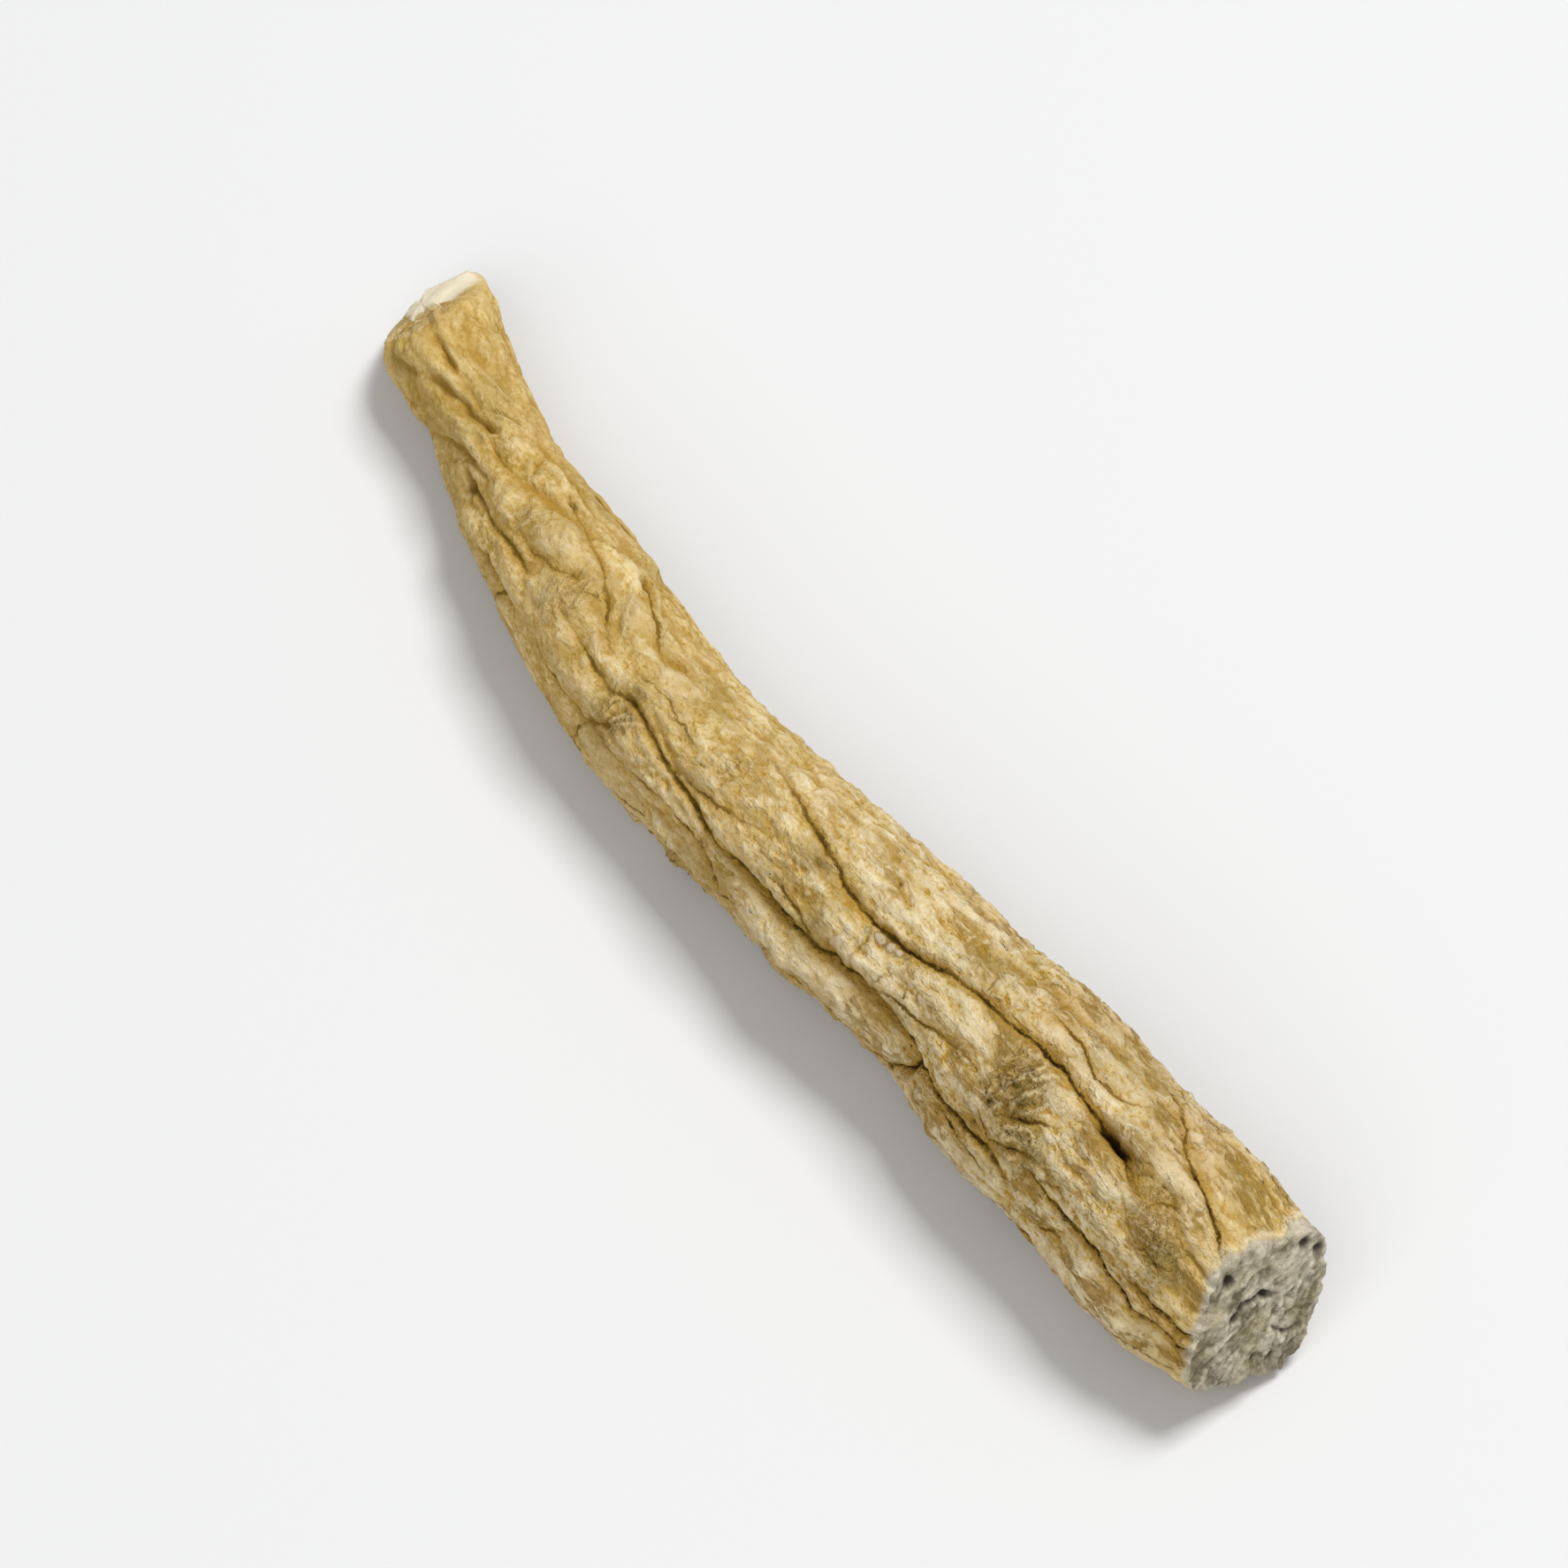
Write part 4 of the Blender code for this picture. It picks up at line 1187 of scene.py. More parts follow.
    def facet_centres(self, facets: Facets, draw: np.random.Generator) -> np.ndarray:
        """Scatters the middles of facets of one size over the whole root.

        Args:
            facets: the facets' sizes.
            draw: where the random numbers come from.

        Returns:
            A row for each, placed as the flat spots of the grid are.
        """
        survey = self.grid.survey
        centres = []
        for run in np.arange(*self.facet_runs, facets.length):
            girth = float(survey.girth(np.array(run - survey.run_at_origin)))
            count = max(self.least_facets, round(math.tau * girth / facets.breadth))
            for side in range(count):
                shift = draw.uniform(-self.facet_turn_scatter, self.facet_turn_scatter)
                turn = (side + shift) / count * math.tau
                shift = draw.uniform(-self.facet_run_scatter, self.facet_run_scatter)
                place = run + shift * facets.length
                centres.append((place, girth * math.cos(turn), girth * math.sin(turn)))
        return np.array(centres)

    def heights(self) -> np.ndarray:
        """Adds every relief up.

        Returns:
            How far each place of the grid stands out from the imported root.
        """
        shapes = self.shapes
        furrows = np.maximum(shapes["long_depth"], shapes["short_depth"])
        calm = 1.0 - self.calm_share * np.clip(furrows / self.calm_depth, 0.0, 1.0)
        total = (shapes["pleats"] + shapes["facets"]) * calm + shapes["beads"] + shapes["knobs"]
        total += self.welt_share * shapes["welt_depth"] - self.welt_sides * shapes["welt_lips"]
        total += shapes["long_lips"] + shapes["short_lips"] + shapes["soft_lips"]
        total += self.crumple_height * shapes["scars"] * shapes["crumple"]
        total -= self.furrow_share * furrows + self.soft_share * shapes["soft_depth"] + shapes["pits"]
        return total.reshape(self.grid.x.shape)


def sunk(y: np.ndarray, z: np.ndarray, holes: Sequence[Hole]) -> np.ndarray:
    """Sinks round hollows that fade at their sides.

    Args:
        y: the places' first measure.
        z: their second measure.
        holes: the hollows.

    Returns:
        The depth at each place.
    """
    total = np.zeros(len(y))
    for hole in holes:
        gap = np.hypot(y - hole.y, z - hole.z) / hole.radius
        total = np.maximum(total, hole.depth * np.exp(-(gap**2)))
    return total


@dataclass
class CutFlesh:
    """The chalky flesh of one cut, laid in rings from its rim to its middle."""

    cut: Cut
    rings: int
    rim: np.ndarray
    dome: float = 0.0
    flake_length: float = 1.5
    flake_breadth: float = 0.85
    flake_lean: float = 38.0
    flake_push: float = 0.4
    flake_height: float = 0.11
    swell_cell: float = 2.6
    swell_height: float = 0.16
    crumb_cell: float = 0.45
    crumb_height: float = 0.05
    thin_share: float = 0.6
    flap_height: float = 0.6
    flap_reach: float = 0.3
    flap_width: float = 0.21
    hole_sway: float = 0.07
    hole_sway_cell: float = 0.5
    full_hollow: float = 0.4
    edge_reach: float = 0.5
    white_width: float = 0.28
    white_angles: Pair = (-5.0, 115.0)
    white_fade: float = 20.0
    lobe_side: float = 1.1
    lobe_lean: float = 0.36
    lobe_fade: float = 0.4
    top_y: tuple[float, ...] = (-1.6, -0.4, 0.0, 0.3)
    top_z: tuple[float, ...] = (1.1, 1.05, 1.3, 3.0)
    top_fade: float = 0.35
    ragged_reach: float = 0.3
    ragged_cell: float = 0.7
    skin_warmth: float = 0.6

    def __post_init__(self) -> None:
        """Lays the rings as one point a row, from inside the rim to the middle, which comes last."""
        centre = self.rim.mean(axis=0)
        shares = 1.0 - np.arange(1, self.rings) / self.rings
        flat = centre + shares[:, None, None] * (self.rim - centre)
        self.points = np.concatenate([flat.reshape(-1, 3), centre[None]])
        from_edge = np.linalg.norm(self.rim - centre, axis=1).mean() * (1.0 - shares)
        inner = np.append(np.repeat(eased(from_edge / self.edge_reach), len(self.rim)), 1.0)
        shares = np.append(np.repeat(shares, len(self.rim)), 0.0)
        offset = self.points - centre
        height = self.flakes(offset) - self.hollows(offset)
        self.points[:, 0] += self.cut.value * (inner * height + self.dome * (1.0 - shares**3))

    def marks(self) -> dict[str, np.ndarray]:
        """Works out what the flesh's paint follows.

        Returns:
            A number from 0 to 1 for each point inside the rim, by name.
        """
        offset = self.points - self.points[-1]
        hollows = self.hollows(offset)
        # Crest paints highlights on the raised flakes and the flap, and hollow paints shade in the pits and
        # cracks.
        crest = 0.3 + 0.9 * self.flakes(offset) / self.flake_height - 3.0 * hollows
        flesh = self.bare(offset)
        return {
            "flesh": flesh,
            "thin_end": np.full(len(offset), float(self.cut is Cut.THIN)),
            "crest": np.clip(np.maximum(crest, self.white_rim()), 0.0, 1.0),
            "hollow": np.clip(hollows / self.full_hollow, 0.0, 1.0),
            "warm": self.skin_warmth * (1.0 - flesh),
            "stain": sunk(offset[:, 1], offset[:, 2], FLESH_STAINS[self.cut]),
        }

    def bare(self, offset: np.ndarray) -> np.ndarray:
        """Marks the flesh that no skin closes over, which is all of it at the thick end.

        Args:
            offset: points of the cut, from its middle.

        Returns:
            1 on bare flesh, 0 on skin.
        """
        if self.cut is Cut.THICK:
            return np.ones(len(offset))
        y = offset[:, 1]
        z = offset[:, 2]
        ragged = GrainNoise(Seed.THIN_FLESH).layers(offset / self.ragged_cell, 2) * self.ragged_reach
        beyond_lobe = eased((y + self.lobe_side + self.lobe_lean * z + ragged) / self.lobe_fade)
        below_top = eased((np.interp(y, self.top_y, self.top_z) - z + ragged) / self.top_fade)
        return beyond_lobe * below_top

    def white_rim(self) -> np.ndarray:
        """Marks the white line along the cut's upper rim.

        Returns:
            1 on it, fading to 0 beside it.
        """
        centre = self.rim.mean(axis=0)
        spokes = self.rim - centre
        angle = np.degrees(np.arctan2(spokes[:, 2], spokes[:, 1]))
        reach = np.linalg.norm(spokes, axis=1)
        inside = np.outer(np.arange(1, self.rings) / self.rings, reach)
        upper = between(angle, *self.white_angles, self.white_fade)
        line = np.exp(-((inside / self.white_width) ** 2)) * upper
        return np.append(line.ravel(), 0.0)

    def flakes(self, offset: np.ndarray) -> np.ndarray:
        """Raises slanting flakes and crumbs.

        Args:
            offset: points of the cut, from its middle.

        Returns:
            The height at each.
        """
        lean = math.radians(self.flake_lean)
        along = offset[:, 1] * math.cos(lean) + offset[:, 2] * math.sin(lean)
        across = offset[:, 2] * math.cos(lean) - offset[:, 1] * math.sin(lean)
        noise = GrainNoise(Seed.FLAKES + self.cut.value)
        flat = np.column_stack([along / self.flake_length, across / self.flake_breadth, 0.0 * along])
        flakes = noise.pleats(noise.push(flat, self.flake_push), 3, 0.6)
        crumbs = GrainNoise(Seed.CRUMBS + self.cut.value).layers(offset / self.crumb_cell, 2, 0.6)
        swell = GrainNoise(Seed.SWELL + self.cut.value).layers(offset / self.swell_cell, 2)
        share = 1.0 if self.cut is Cut.THICK else self.thin_share
        fine = self.flake_height * flakes + self.crumb_height * crumbs
        return share * (fine + self.swell_height * swell)

    def hollows(self, offset: np.ndarray) -> np.ndarray:
        """Sinks the pits and the cracks of the flesh, each crack with a flap along one side.

        Args:
            offset: points of the cut, from its middle.

        Returns:
            The depth at each.
        """
        cells = offset / self.hole_sway_cell
        y = offset[:, 1] + self.hole_sway * GrainNoise(Seed.HOLE_SWAY_Y).layers(cells, 2)
        z = offset[:, 2] + self.hole_sway * GrainNoise(Seed.HOLE_SWAY_Z).layers(cells, 2)
        total = sunk(y, z, FLESH_PITS[self.cut])
        for crack in FLESH_CRACKS[self.cut]:
            nearest = np.full(len(offset), np.inf)
            side = np.zeros(len(offset))
            depth = np.zeros(len(offset))
            for start, stop in itertools.pairwise(crack):
                way = (stop.y - start.y, stop.z - start.z)
                share, gap, right = beside(y - start.y, z - start.z, *way)
                closer = gap < nearest
                nearest[closer] = gap[closer]
                side[closer] = right[closer]
                depth[closer] = (start.depth + share * (stop.depth - start.depth))[closer]
            total = np.maximum(total, depth * np.exp(-((nearest / crack[0].radius) ** 2)))
            flap = depth * np.exp(-(((nearest - self.flap_reach) / self.flap_width) ** 2)) * side
            total -= self.flap_height * flap
        return total


class Wire:
    """A value in a material that sums, products and powers can be written with."""

    def __init__(self, graph: "Graph", socket: bpy.types.NodeSocket) -> None:
        """Keeps the socket and the graph that it belongs to."""
        self.graph = graph
        self.socket = socket

    def __add__(self, other: "Wire | float") -> "Wire":
        """This plus the other."""
        return self.graph.maths("ADD", self, other)

    __radd__ = __add__

    def __sub__(self, other: "Wire | float") -> "Wire":
        """This less the other."""
        return self.graph.maths("SUBTRACT", self, other)

    def __rsub__(self, other: float) -> "Wire":
        """The other less this."""
        return self.graph.maths("SUBTRACT", other, self)

    def __mul__(self, other: "Wire | float") -> "Wire":
        """This times the other."""
        return self.graph.maths("MULTIPLY", self, other)

    __rmul__ = __mul__

    def __truediv__(self, other: "Wire | float") -> "Wire":
        """This divided by the other."""
        return self.graph.maths("DIVIDE", self, other)

    def __pow__(self, power: float) -> "Wire":
        """This to a power."""
        return self.graph.maths("POWER", self, power)

    def held(self) -> "Wire":
        """This, kept between 0 and 1."""
        return self.graph.maths("MINIMUM", self.graph.maths("MAXIMUM", self, 0.0), 1.0)

    def size(self) -> "Wire":
        """This without its sign."""
        return self.graph.maths("MAXIMUM", self, 0.0 - self)

    def above(self, low: float, high: float) -> "Wire":
        """0 up to the low value, 1 from the high one, and a straight rise between."""
        return ((self - low) * (1.0 / (high - low))).held()


class Graph:
    """Adds nodes to one material."""

    furrow_wobble: float = 0.3
    wobble_size: float = 0.3

    def __init__(self, material: bpy.types.Material) -> None:
        """Starts the material's node tree afresh.

        Args:
            material: the material.
        """
        material.use_nodes = True
        self.tree = material.node_tree
        self.tree.nodes.clear()
        self.attributes: dict[str, Wire] = {}

    def node(self, kind: str, settings: Mapping[str, object] | None = None,
             sockets: Mapping[str | int, object] | None = None) -> bpy.types.Node:
        """Adds a node.

        Args:
            kind: the node's type.
            settings: the node's own settings, which are set first.
            sockets: a value or a wire for each of its inputs that is used.

        Returns:
            The node.
        """
        node = self.tree.nodes.new(kind)
        for name, value in (settings or {}).items():
            setattr(node, name, value)
        for name, value in (sockets or {}).items():
            if isinstance(value, Wire):
                self.tree.links.new(value.socket, node.inputs[name])
            else:
                node.inputs[name].default_value = value
        return node

    def maths(self, operation: str, first: Wire | float, second: Wire | float) -> Wire:
        """One Math node on two values."""
        node = self.node("ShaderNodeMath", {"operation": operation}, {0: first, 1: second})
        return Wire(self, node.outputs[0])

    def mix(self, share: Wire | float, first: Wire | Colour, second: Wire | Colour) -> Wire:
        """Mixes two colours, with a share of the second from 0 to 1."""
        node = self.node("ShaderNodeMix", {"data_type": "RGBA"}, {0: share, 6: first, 7: second})
        return Wire(self, node.outputs[2])

    def coats(self, ground: Wire | Colour, coats: Sequence["Coat"]) -> Wire | Colour:
        """Lays coats of colour over each other.

        Args:
            ground: the colour below them all.
            coats: how much each coat covers, from 0 to 1, and its colour.

        Returns:
            The colour that shows.
        """
        colour = ground
        for share, coat in coats:
            colour = self.mix(share, colour, coat)
        return colour

    def attribute(self, name: str) -> Wire:
        """Reads a number that the mesh keeps at each of its points, with one node for each name.

        Args:
            name: what the mesh keeps it under.

        Returns:
            The number.
        """
        if name not in self.attributes:
            node = self.node("ShaderNodeAttribute", {"attribute_name": name})
            self.attributes[name] = Wire(self, node.outputs["Fac"])
        return self.attributes[name]

    def millimetres(self, stretch: Sequence[float] = (1.0, 1.0, 1.0)) -> Wire:
        """Gives the place on the object.

        Args:
            stretch: what each direction is divided by.

        Returns:
            The place, in stretched millimetres.
        """
        place = Wire(self, self.node("ShaderNodeTexCoord").outputs["Object"])
        scale = [1.0 / (MM * share) for share in stretch]
        node = self.node("ShaderNodeVectorMath", {"operation": "MULTIPLY"}, {0: place, 1: scale})
        return Wire(self, node.outputs[0])

    def noise(self, place: Wire, size: float, layers: float = 2.0, rough: float = 0.5,
              bend: float = 0.0) -> Wire:
        """Adds soft noise.

        Args:
            place: where it is read.
            size: the width of its blotches, in millimetres.
            layers: how many finer layers it has.
            rough: how strong the finer layers are.
            bend: how much it is distorted.

        Returns:
            A value about 0.5.
        """
        sockets = {"Vector": place, "Scale": 1.0 / size, "Detail": layers, "Roughness": rough,
                   "Distortion": bend}
        return Wire(self, self.node("ShaderNodeTexNoise", {}, sockets).outputs["Fac"])

    def squiggles(self, place: Wire, size: float, width: float, bend: float) -> Wire:
        """Draws winding lines about a size apart: 1 on a line, fading to 0 within a width of it."""
        soft = self.noise(place, size, 3.0, 0.6, bend)
        return 1.0 - ((soft - 0.5).size() / width).held()

    @cached_property
    def wobble(self) -> Wire:
        """How far a furrow's line strays from its route, in millimetres."""
        return (self.noise(self.millimetres(), self.wobble_size, 2.0, 0.6) - 0.5) * self.furrow_wobble

    def strength(self, kind: Kind) -> Wire:
        """How strong the nearest furrow of a kind is, in millimetres of depth."""
        return self.attribute(f"{kind.value}_strength")

    def furrow(self, kind: Kind, slim: float, broad: float) -> Wire:
        """Draws the furrows of one kind as thin lines, finer than the mesh.

        Args:
            kind: the furrows' kind.
            slim: a faint furrow's half width, in millimetres.
            broad: how much a furrow's half width grows with each millimetre of depth.

        Returns:
            1 in the middle of a furrow, fading to 0 at its sides.
        """
        gap = (self.attribute(f"{kind.value}_gap") + self.wobble).size()
        width = self.strength(kind) * broad + slim
        return 1.0 - (gap / width).held()

    def swayed(self, place: Wire, size: float, reach: float) -> Wire:
        """Moves places about, so that what is read there winds.

        Args:
            place: the places.
            size: how wide the sway is, in millimetres.
            reach: how far they move, in millimetres.

        Returns:
            The moved places.
        """
        noise = self.node("ShaderNodeTexNoise", {}, {"Vector": place, "Scale": 1.0 / size})
        sway = Wire(self, noise.outputs["Color"])
        half = (0.5, 0.5, 0.5)
        centred = self.node("ShaderNodeVectorMath", {"operation": "SUBTRACT"}, {0: sway, 1: half})
        sockets = {0: Wire(self, centred.outputs[0]), 1: (reach, reach, reach), 2: place}
        moved = self.node("ShaderNodeVectorMath", {"operation": "MULTIPLY_ADD"}, sockets)
        return Wire(self, moved.outputs[0])

    def bump(self, height: Wire, depth: float, below: Wire | None = None) -> Wire:
        """Adds a bump.

        Args:
            height: its height, from 0 to 1.
            depth: how deep it is, in millimetres.
            below: a bump that it goes on top of.

        Returns:
            The bent normal.
        """
        sockets = {"Strength": 1.0, "Distance": depth * MM, "Height": height}
        if below is not None:
            sockets["Normal"] = below
        return Wire(self, self.node("ShaderNodeBump", {}, sockets).outputs["Normal"])


Coat = tuple[Wire, Colour]


class Bend(NamedTuple):
    """How places are stretched, and how wide and how far they sway, before noise is read there."""

    stretch: tuple[float, float, float]
    size: float
    reach: float

    def bent(self, graph: Graph) -> Wire:
        """The places of the object, so bent."""
        return graph.swayed(graph.millimetres(self.stretch), self.size, self.reach)


class Creases(NamedTuple):
    """Thin winding creases: how far apart, how wide and how bent they are, and where they show."""

    spacing: float
    width: float
    bend: float
    patch: float
    patch_layers: float
    patch_start: float
    patch_stop: float = 0.6

    def drawn(self, graph: Graph, place: Wire) -> Wire:
        """Draws them: 1 on a crease, fading to 0 beside it."""
        patches = graph.noise(place, self.patch, self.patch_layers).above(self.patch_start, self.patch_stop)
        return graph.squiggles(place, self.spacing, self.width, self.bend) * patches


@dataclass(frozen=True)
class SkinFinish:
    """The look of the dried skin: straw ridges, amber and brown creases, a mottled matt grain, with painted
    shade in its hollows and creases and painted highlights on its crests.
    """

    cream: Colour = (0.74, 0.64, 0.43, 1.0)
    pale: Colour = (0.68, 0.545, 0.295, 1.0)
    straw: Colour = (0.61, 0.445, 0.18, 1.0)
    tan: Colour = (0.47, 0.315, 0.095, 1.0)
    amber: Colour = (0.38, 0.222, 0.034, 1.0)
    umber: Colour = (0.2, 0.112, 0.014, 1.0)
    brown: Colour = (0.15, 0.075, 0.004, 1.0)
    # Near black, painted as shadow in the deepest furrows and pits.
    dark: Colour = (0.035, 0.016, 0.002, 1.0)
    warm: Colour = (0.66, 0.465, 0.165, 1.0)
    rose: Colour = (0.58, 0.39, 0.19, 1.0)
    olive: Colour = (0.27, 0.205, 0.06, 1.0)
    sap: Colour = (0.5, 0.42, 0.28, 1.0)
    cloud_size: float = 3.0
    patch_size: float = 1.2
    speckle_size: float = 0.17
    rose_size: float = 5.5
    olive_size: float = 4.5
    middle_tone: float = 0.68
    wool_contrast: float = 2.4
    close_wool: float = 1.2
    cloud_contrast: float = 0.8
    patch_contrast: float = 0.9
    speckle_contrast: float = 1.0
    crest_light: float = 0.5
    close_crest: float = 0.15
    hollow_shade: float = 0.25
    close_hollow: float = 0.35
    close_light: float = 0.1
    far_shade: float = 0.42
    far_calm: float = 0.6
    wool_size: float = 0.3
    wool_bend: Bend = Bend((1.4, 1.0, 1.0), 0.7, 0.35)
    coarse: Creases = Creases(1.2, 0.13, 0.4, 1.6, 1.0, 0.36)
    fine: Creases = Creases(0.5, 0.16, 0.5, 1.1, 1.0, 0.36)
    wrinkle_bend: Bend = Bend((2.2, 1.0, 1.0), 1.1, 0.9)
    thread: Creases = Creases(0.9, 0.05, 0.4, 1.1, 2.0, 0.46)
    thread_bend: Bend = Bend((4.5, 1.0, 1.0), 0.9, 0.5)
    curl_size: float = 0.75
    curl_width: float = 0.13
    curl_bend: Bend = Bend((0.8, 1.2, 1.2), 0.8, 0.8)


@dataclass
class SkinPaint:
    """Lays the skin's coats of colour in one material."""

    look: SkinFinish
    graph: Graph

    @cached_property
    def wool(self) -> Wire:
        """The woolly mottle that the colour and the relief both follow, the colour partly as painted light
        on its bumps and painted shade between them.
        """
        return self.graph.noise(self.look.wool_bend.bent(self.graph), self.look.wool_size, 3.0, 0.65)

    @cached_property
    def mottle(self) -> Wire:
        """The woolly mottle from 0 to 1, which breaks the colour of the creases up."""
        return (self.wool * 1.5 - 0.05).held()

    @cached_property
    def patchy(self) -> Wire:
        """The broader mottle."""
        return self.graph.noise(self.graph.millimetres(), self.look.patch_size, 3.0, 0.6)

    @cached_property
    def near(self) -> Wire:
        """1 at the thick end, and less towards the thin one."""
        return 1.0 - self.graph.attribute("far") * self.look.far_calm

    @cached_property
    def wrinkles(self) -> Wire:
        """Fine winding creases that the colour, as painted shade, and the relief both follow.

        Returns:
            1 on the strongest, 0 between them.
        """
        bent = self.look.wrinkle_bend.bent(self.graph)
        coarse = self.look.coarse.drawn(self.graph, bent) * 0.8
        return (coarse + self.look.fine.drawn(self.graph, bent) * 0.6).held()

    @cached_property
    def threads(self) -> Wire:
        """Thin creases that run along the root."""
        return self.look.thread.drawn(self.graph, self.look.thread_bend.bent(self.graph))

    @cached_property
    def curls(self) -> Wire:
        """The tight winding creases of the scars."""
        bent = self.look.curl_bend.bent(self.graph)
        return self.graph.squiggles(bent, self.look.curl_size, self.look.curl_width, 0.6)

    def tone(self) -> Wire:
        """Works out how pale the skin is.

        Returns:
            About 0 where it is amber and 1 where it is cream.
        """
        look = self.look
        graph = self.graph
        place = graph.millimetres()
        far = graph.attribute("far")
        close = graph.attribute("close")
        # Painted light and shade: the skin is paler where the woolly bump stands high and on the crests,
        # and darker where that bump lies low and in the hollows, over the woolly mottle of its own colour.
        tone = (self.wool - 0.5) * (look.wool_contrast + close * look.close_wool)
        tone = tone + (graph.noise(place, look.cloud_size) - 0.5) * look.cloud_contrast
        tone = tone + (self.patchy - 0.5) * look.patch_contrast
        tone = tone + (graph.noise(place, look.speckle_size, 1.0) - 0.5) * look.speckle_contrast
        tone = tone + graph.attribute("crest") * (look.crest_light + close * look.close_crest)
        tone = tone - graph.attribute("hollow") * (look.hollow_shade + close * look.close_hollow)
        tone = look.middle_tone + tone * self.near
        return tone - far * look.far_shade + close * look.close_light

    def ground(self) -> list[Coat]:
        """Makes the coats of the plain skin.

        Returns:
            The coats, from amber up to cream, with a rosy and a warm tint.
        """
        tone = self.tone()
        rose = self.graph.noise(self.graph.millimetres(), self.look.rose_size).above(0.5, 0.66)
        return [
            (tone.above(0.0, 0.3), self.look.tan),
            (tone.above(0.16, 0.42), self.look.straw),
            (tone.above(0.36, 0.66), self.look.pale),
            (tone.above(0.64, 1.05), self.look.cream),
            (rose * self.near * 0.45, self.look.rose),
            ((self.graph.attribute("warm") * (0.4 + self.wool * 0.7)).held(), self.look.warm),
        ]

    def creases(self) -> list[Coat]:
        """Makes the coats of painted shade in the fine creases and the hollows.

        Returns:
            The coats.
        """
        look = self.look
        mottle = self.mottle
        close = self.graph.attribute("close")
        crease = self.graph.attribute("crease").above(0.2, 0.9) * self.patchy.above(0.32, 0.58) * mottle
        hollow = self.graph.attribute("hollow").above(0.15, 1.0) * mottle
        return [
            # Painted shade: amber in the facets' creases, amber and umber in the fine winding creases,
            # brown in the threads, and amber in the hollows and the soft grooves.
            (crease * (0.85 - close * 0.25), look.amber),
            (self.wrinkles * self.near * (0.3 + mottle * 0.6), look.amber),
            (self.wrinkles.above(0.5, 0.9) * (0.2 + close * 0.6) * mottle, look.umber),
            (self.threads * close * mottle * 0.6, look.brown),
            (hollow * (0.95 - close * 0.3), look.amber),
            (self.graph.attribute("soft") * mottle * 0.8, look.amber),
        ]

    def scars(self) -> list[Coat]:
        """Makes the coats of the scars, the fibres and the stains, with painted shade and highlights on the
        scars' relief.

        Returns:
            The coats.
        """
        look = self.look
        graph = self.graph
        scar = graph.attribute("scar")
        hollow = graph.attribute("hollow").above(0.1, 0.8)
        welt = graph.strength(Kind.WELT).above(0.02, 0.16)
        fibre = graph.furrow(Kind.WELT, 0.1, 0.12) * welt
        olive = graph.noise(graph.millimetres(), look.olive_size, 1.0).above(0.5, 0.68) * 0.25
        stain = graph.attribute("stain") * (0.35 + self.wool) * 0.85
        return [
            (scar * 0.5, look.straw),
            (scar * self.mottle * 0.4, look.amber),
            # Painted shade in the scars' hollows and curls.
            (scar * hollow * self.mottle * 0.7, look.umber),
            (scar * self.curls * 0.9, look.brown),
            # Painted shade beside the raised fibres and painted highlights along them.
            (welt * (1.0 - fibre) * (0.15 + scar * 0.3), look.umber),
            (fibre * (0.35 + scar * 0.4), look.pale),
            ((olive + stain).held(), look.olive),
        ]

    def furrows(self, kind: Kind, slim: float) -> list[Coat]:
        """Makes the coats of the furrows of one kind.

        Args:
            kind: the furrows' kind.
            slim: a faint furrow's half width, in millimetres.

        Returns:
            The coats of their amber sides, their umber lines and their dark cores, all painted shade that
            deepens towards each furrow's middle.
        """
        depth = self.graph.strength(kind) * self.patchy.above(0.2, 0.5)
        line = (self.graph.furrow(kind, slim, 0.2) * (0.1 + self.wool * 1.8) * 2.2).held()
        core = (self.graph.furrow(kind, 0.02, 0.15) * 2.0).held() * (1.0 - self.graph.attribute("far"))
        # Painted shade in the furrows, near black in the middle of the deepest.
        return [
            ((depth * 2.0).held() * 0.8, self.look.amber),
            (line * depth.above(0.04, 0.24) * 0.85, self.look.umber),
            (core * depth.above(0.18, 0.4) * (0.3 + self.wool * 1.4).held(), self.look.dark),
        ]

    def spots(self) -> list[Coat]:
        """Makes the coats of the beads, the skin's pale edge and the pits, the pits' darkness being painted
        shade.

        Returns:
            The coats.
        """
        bead = self.graph.attribute("bead")
        pit = self.graph.attribute("pit")
        return [
            (bead.above(0.1, 0.4) * 0.6, self.look.brown),
            (bead.above(0.4, 0.8) * 0.85, self.look.sap),
            (self.graph.attribute("edge") * 0.6, self.look.cream),
            # Painted shade in the pits, near black in the middle of the deepest.
            (pit * 0.8, self.look.umber),
            (pit.above(0.55, 0.9) * (1.0 - self.graph.attribute("far")), self.look.dark),
        ]

    def colour(self) -> Wire:
        """Lays all the coats over plain amber.

        Returns:
            The skin's colour.
        """
        furrows = [*self.furrows(Kind.LONG, 0.06), *self.furrows(Kind.SHORT, 0.05)]
        coats = [*self.ground(), *self.creases(), *self.scars(), *furrows, *self.spots()]
        return self.graph.coats(self.look.amber, coats)


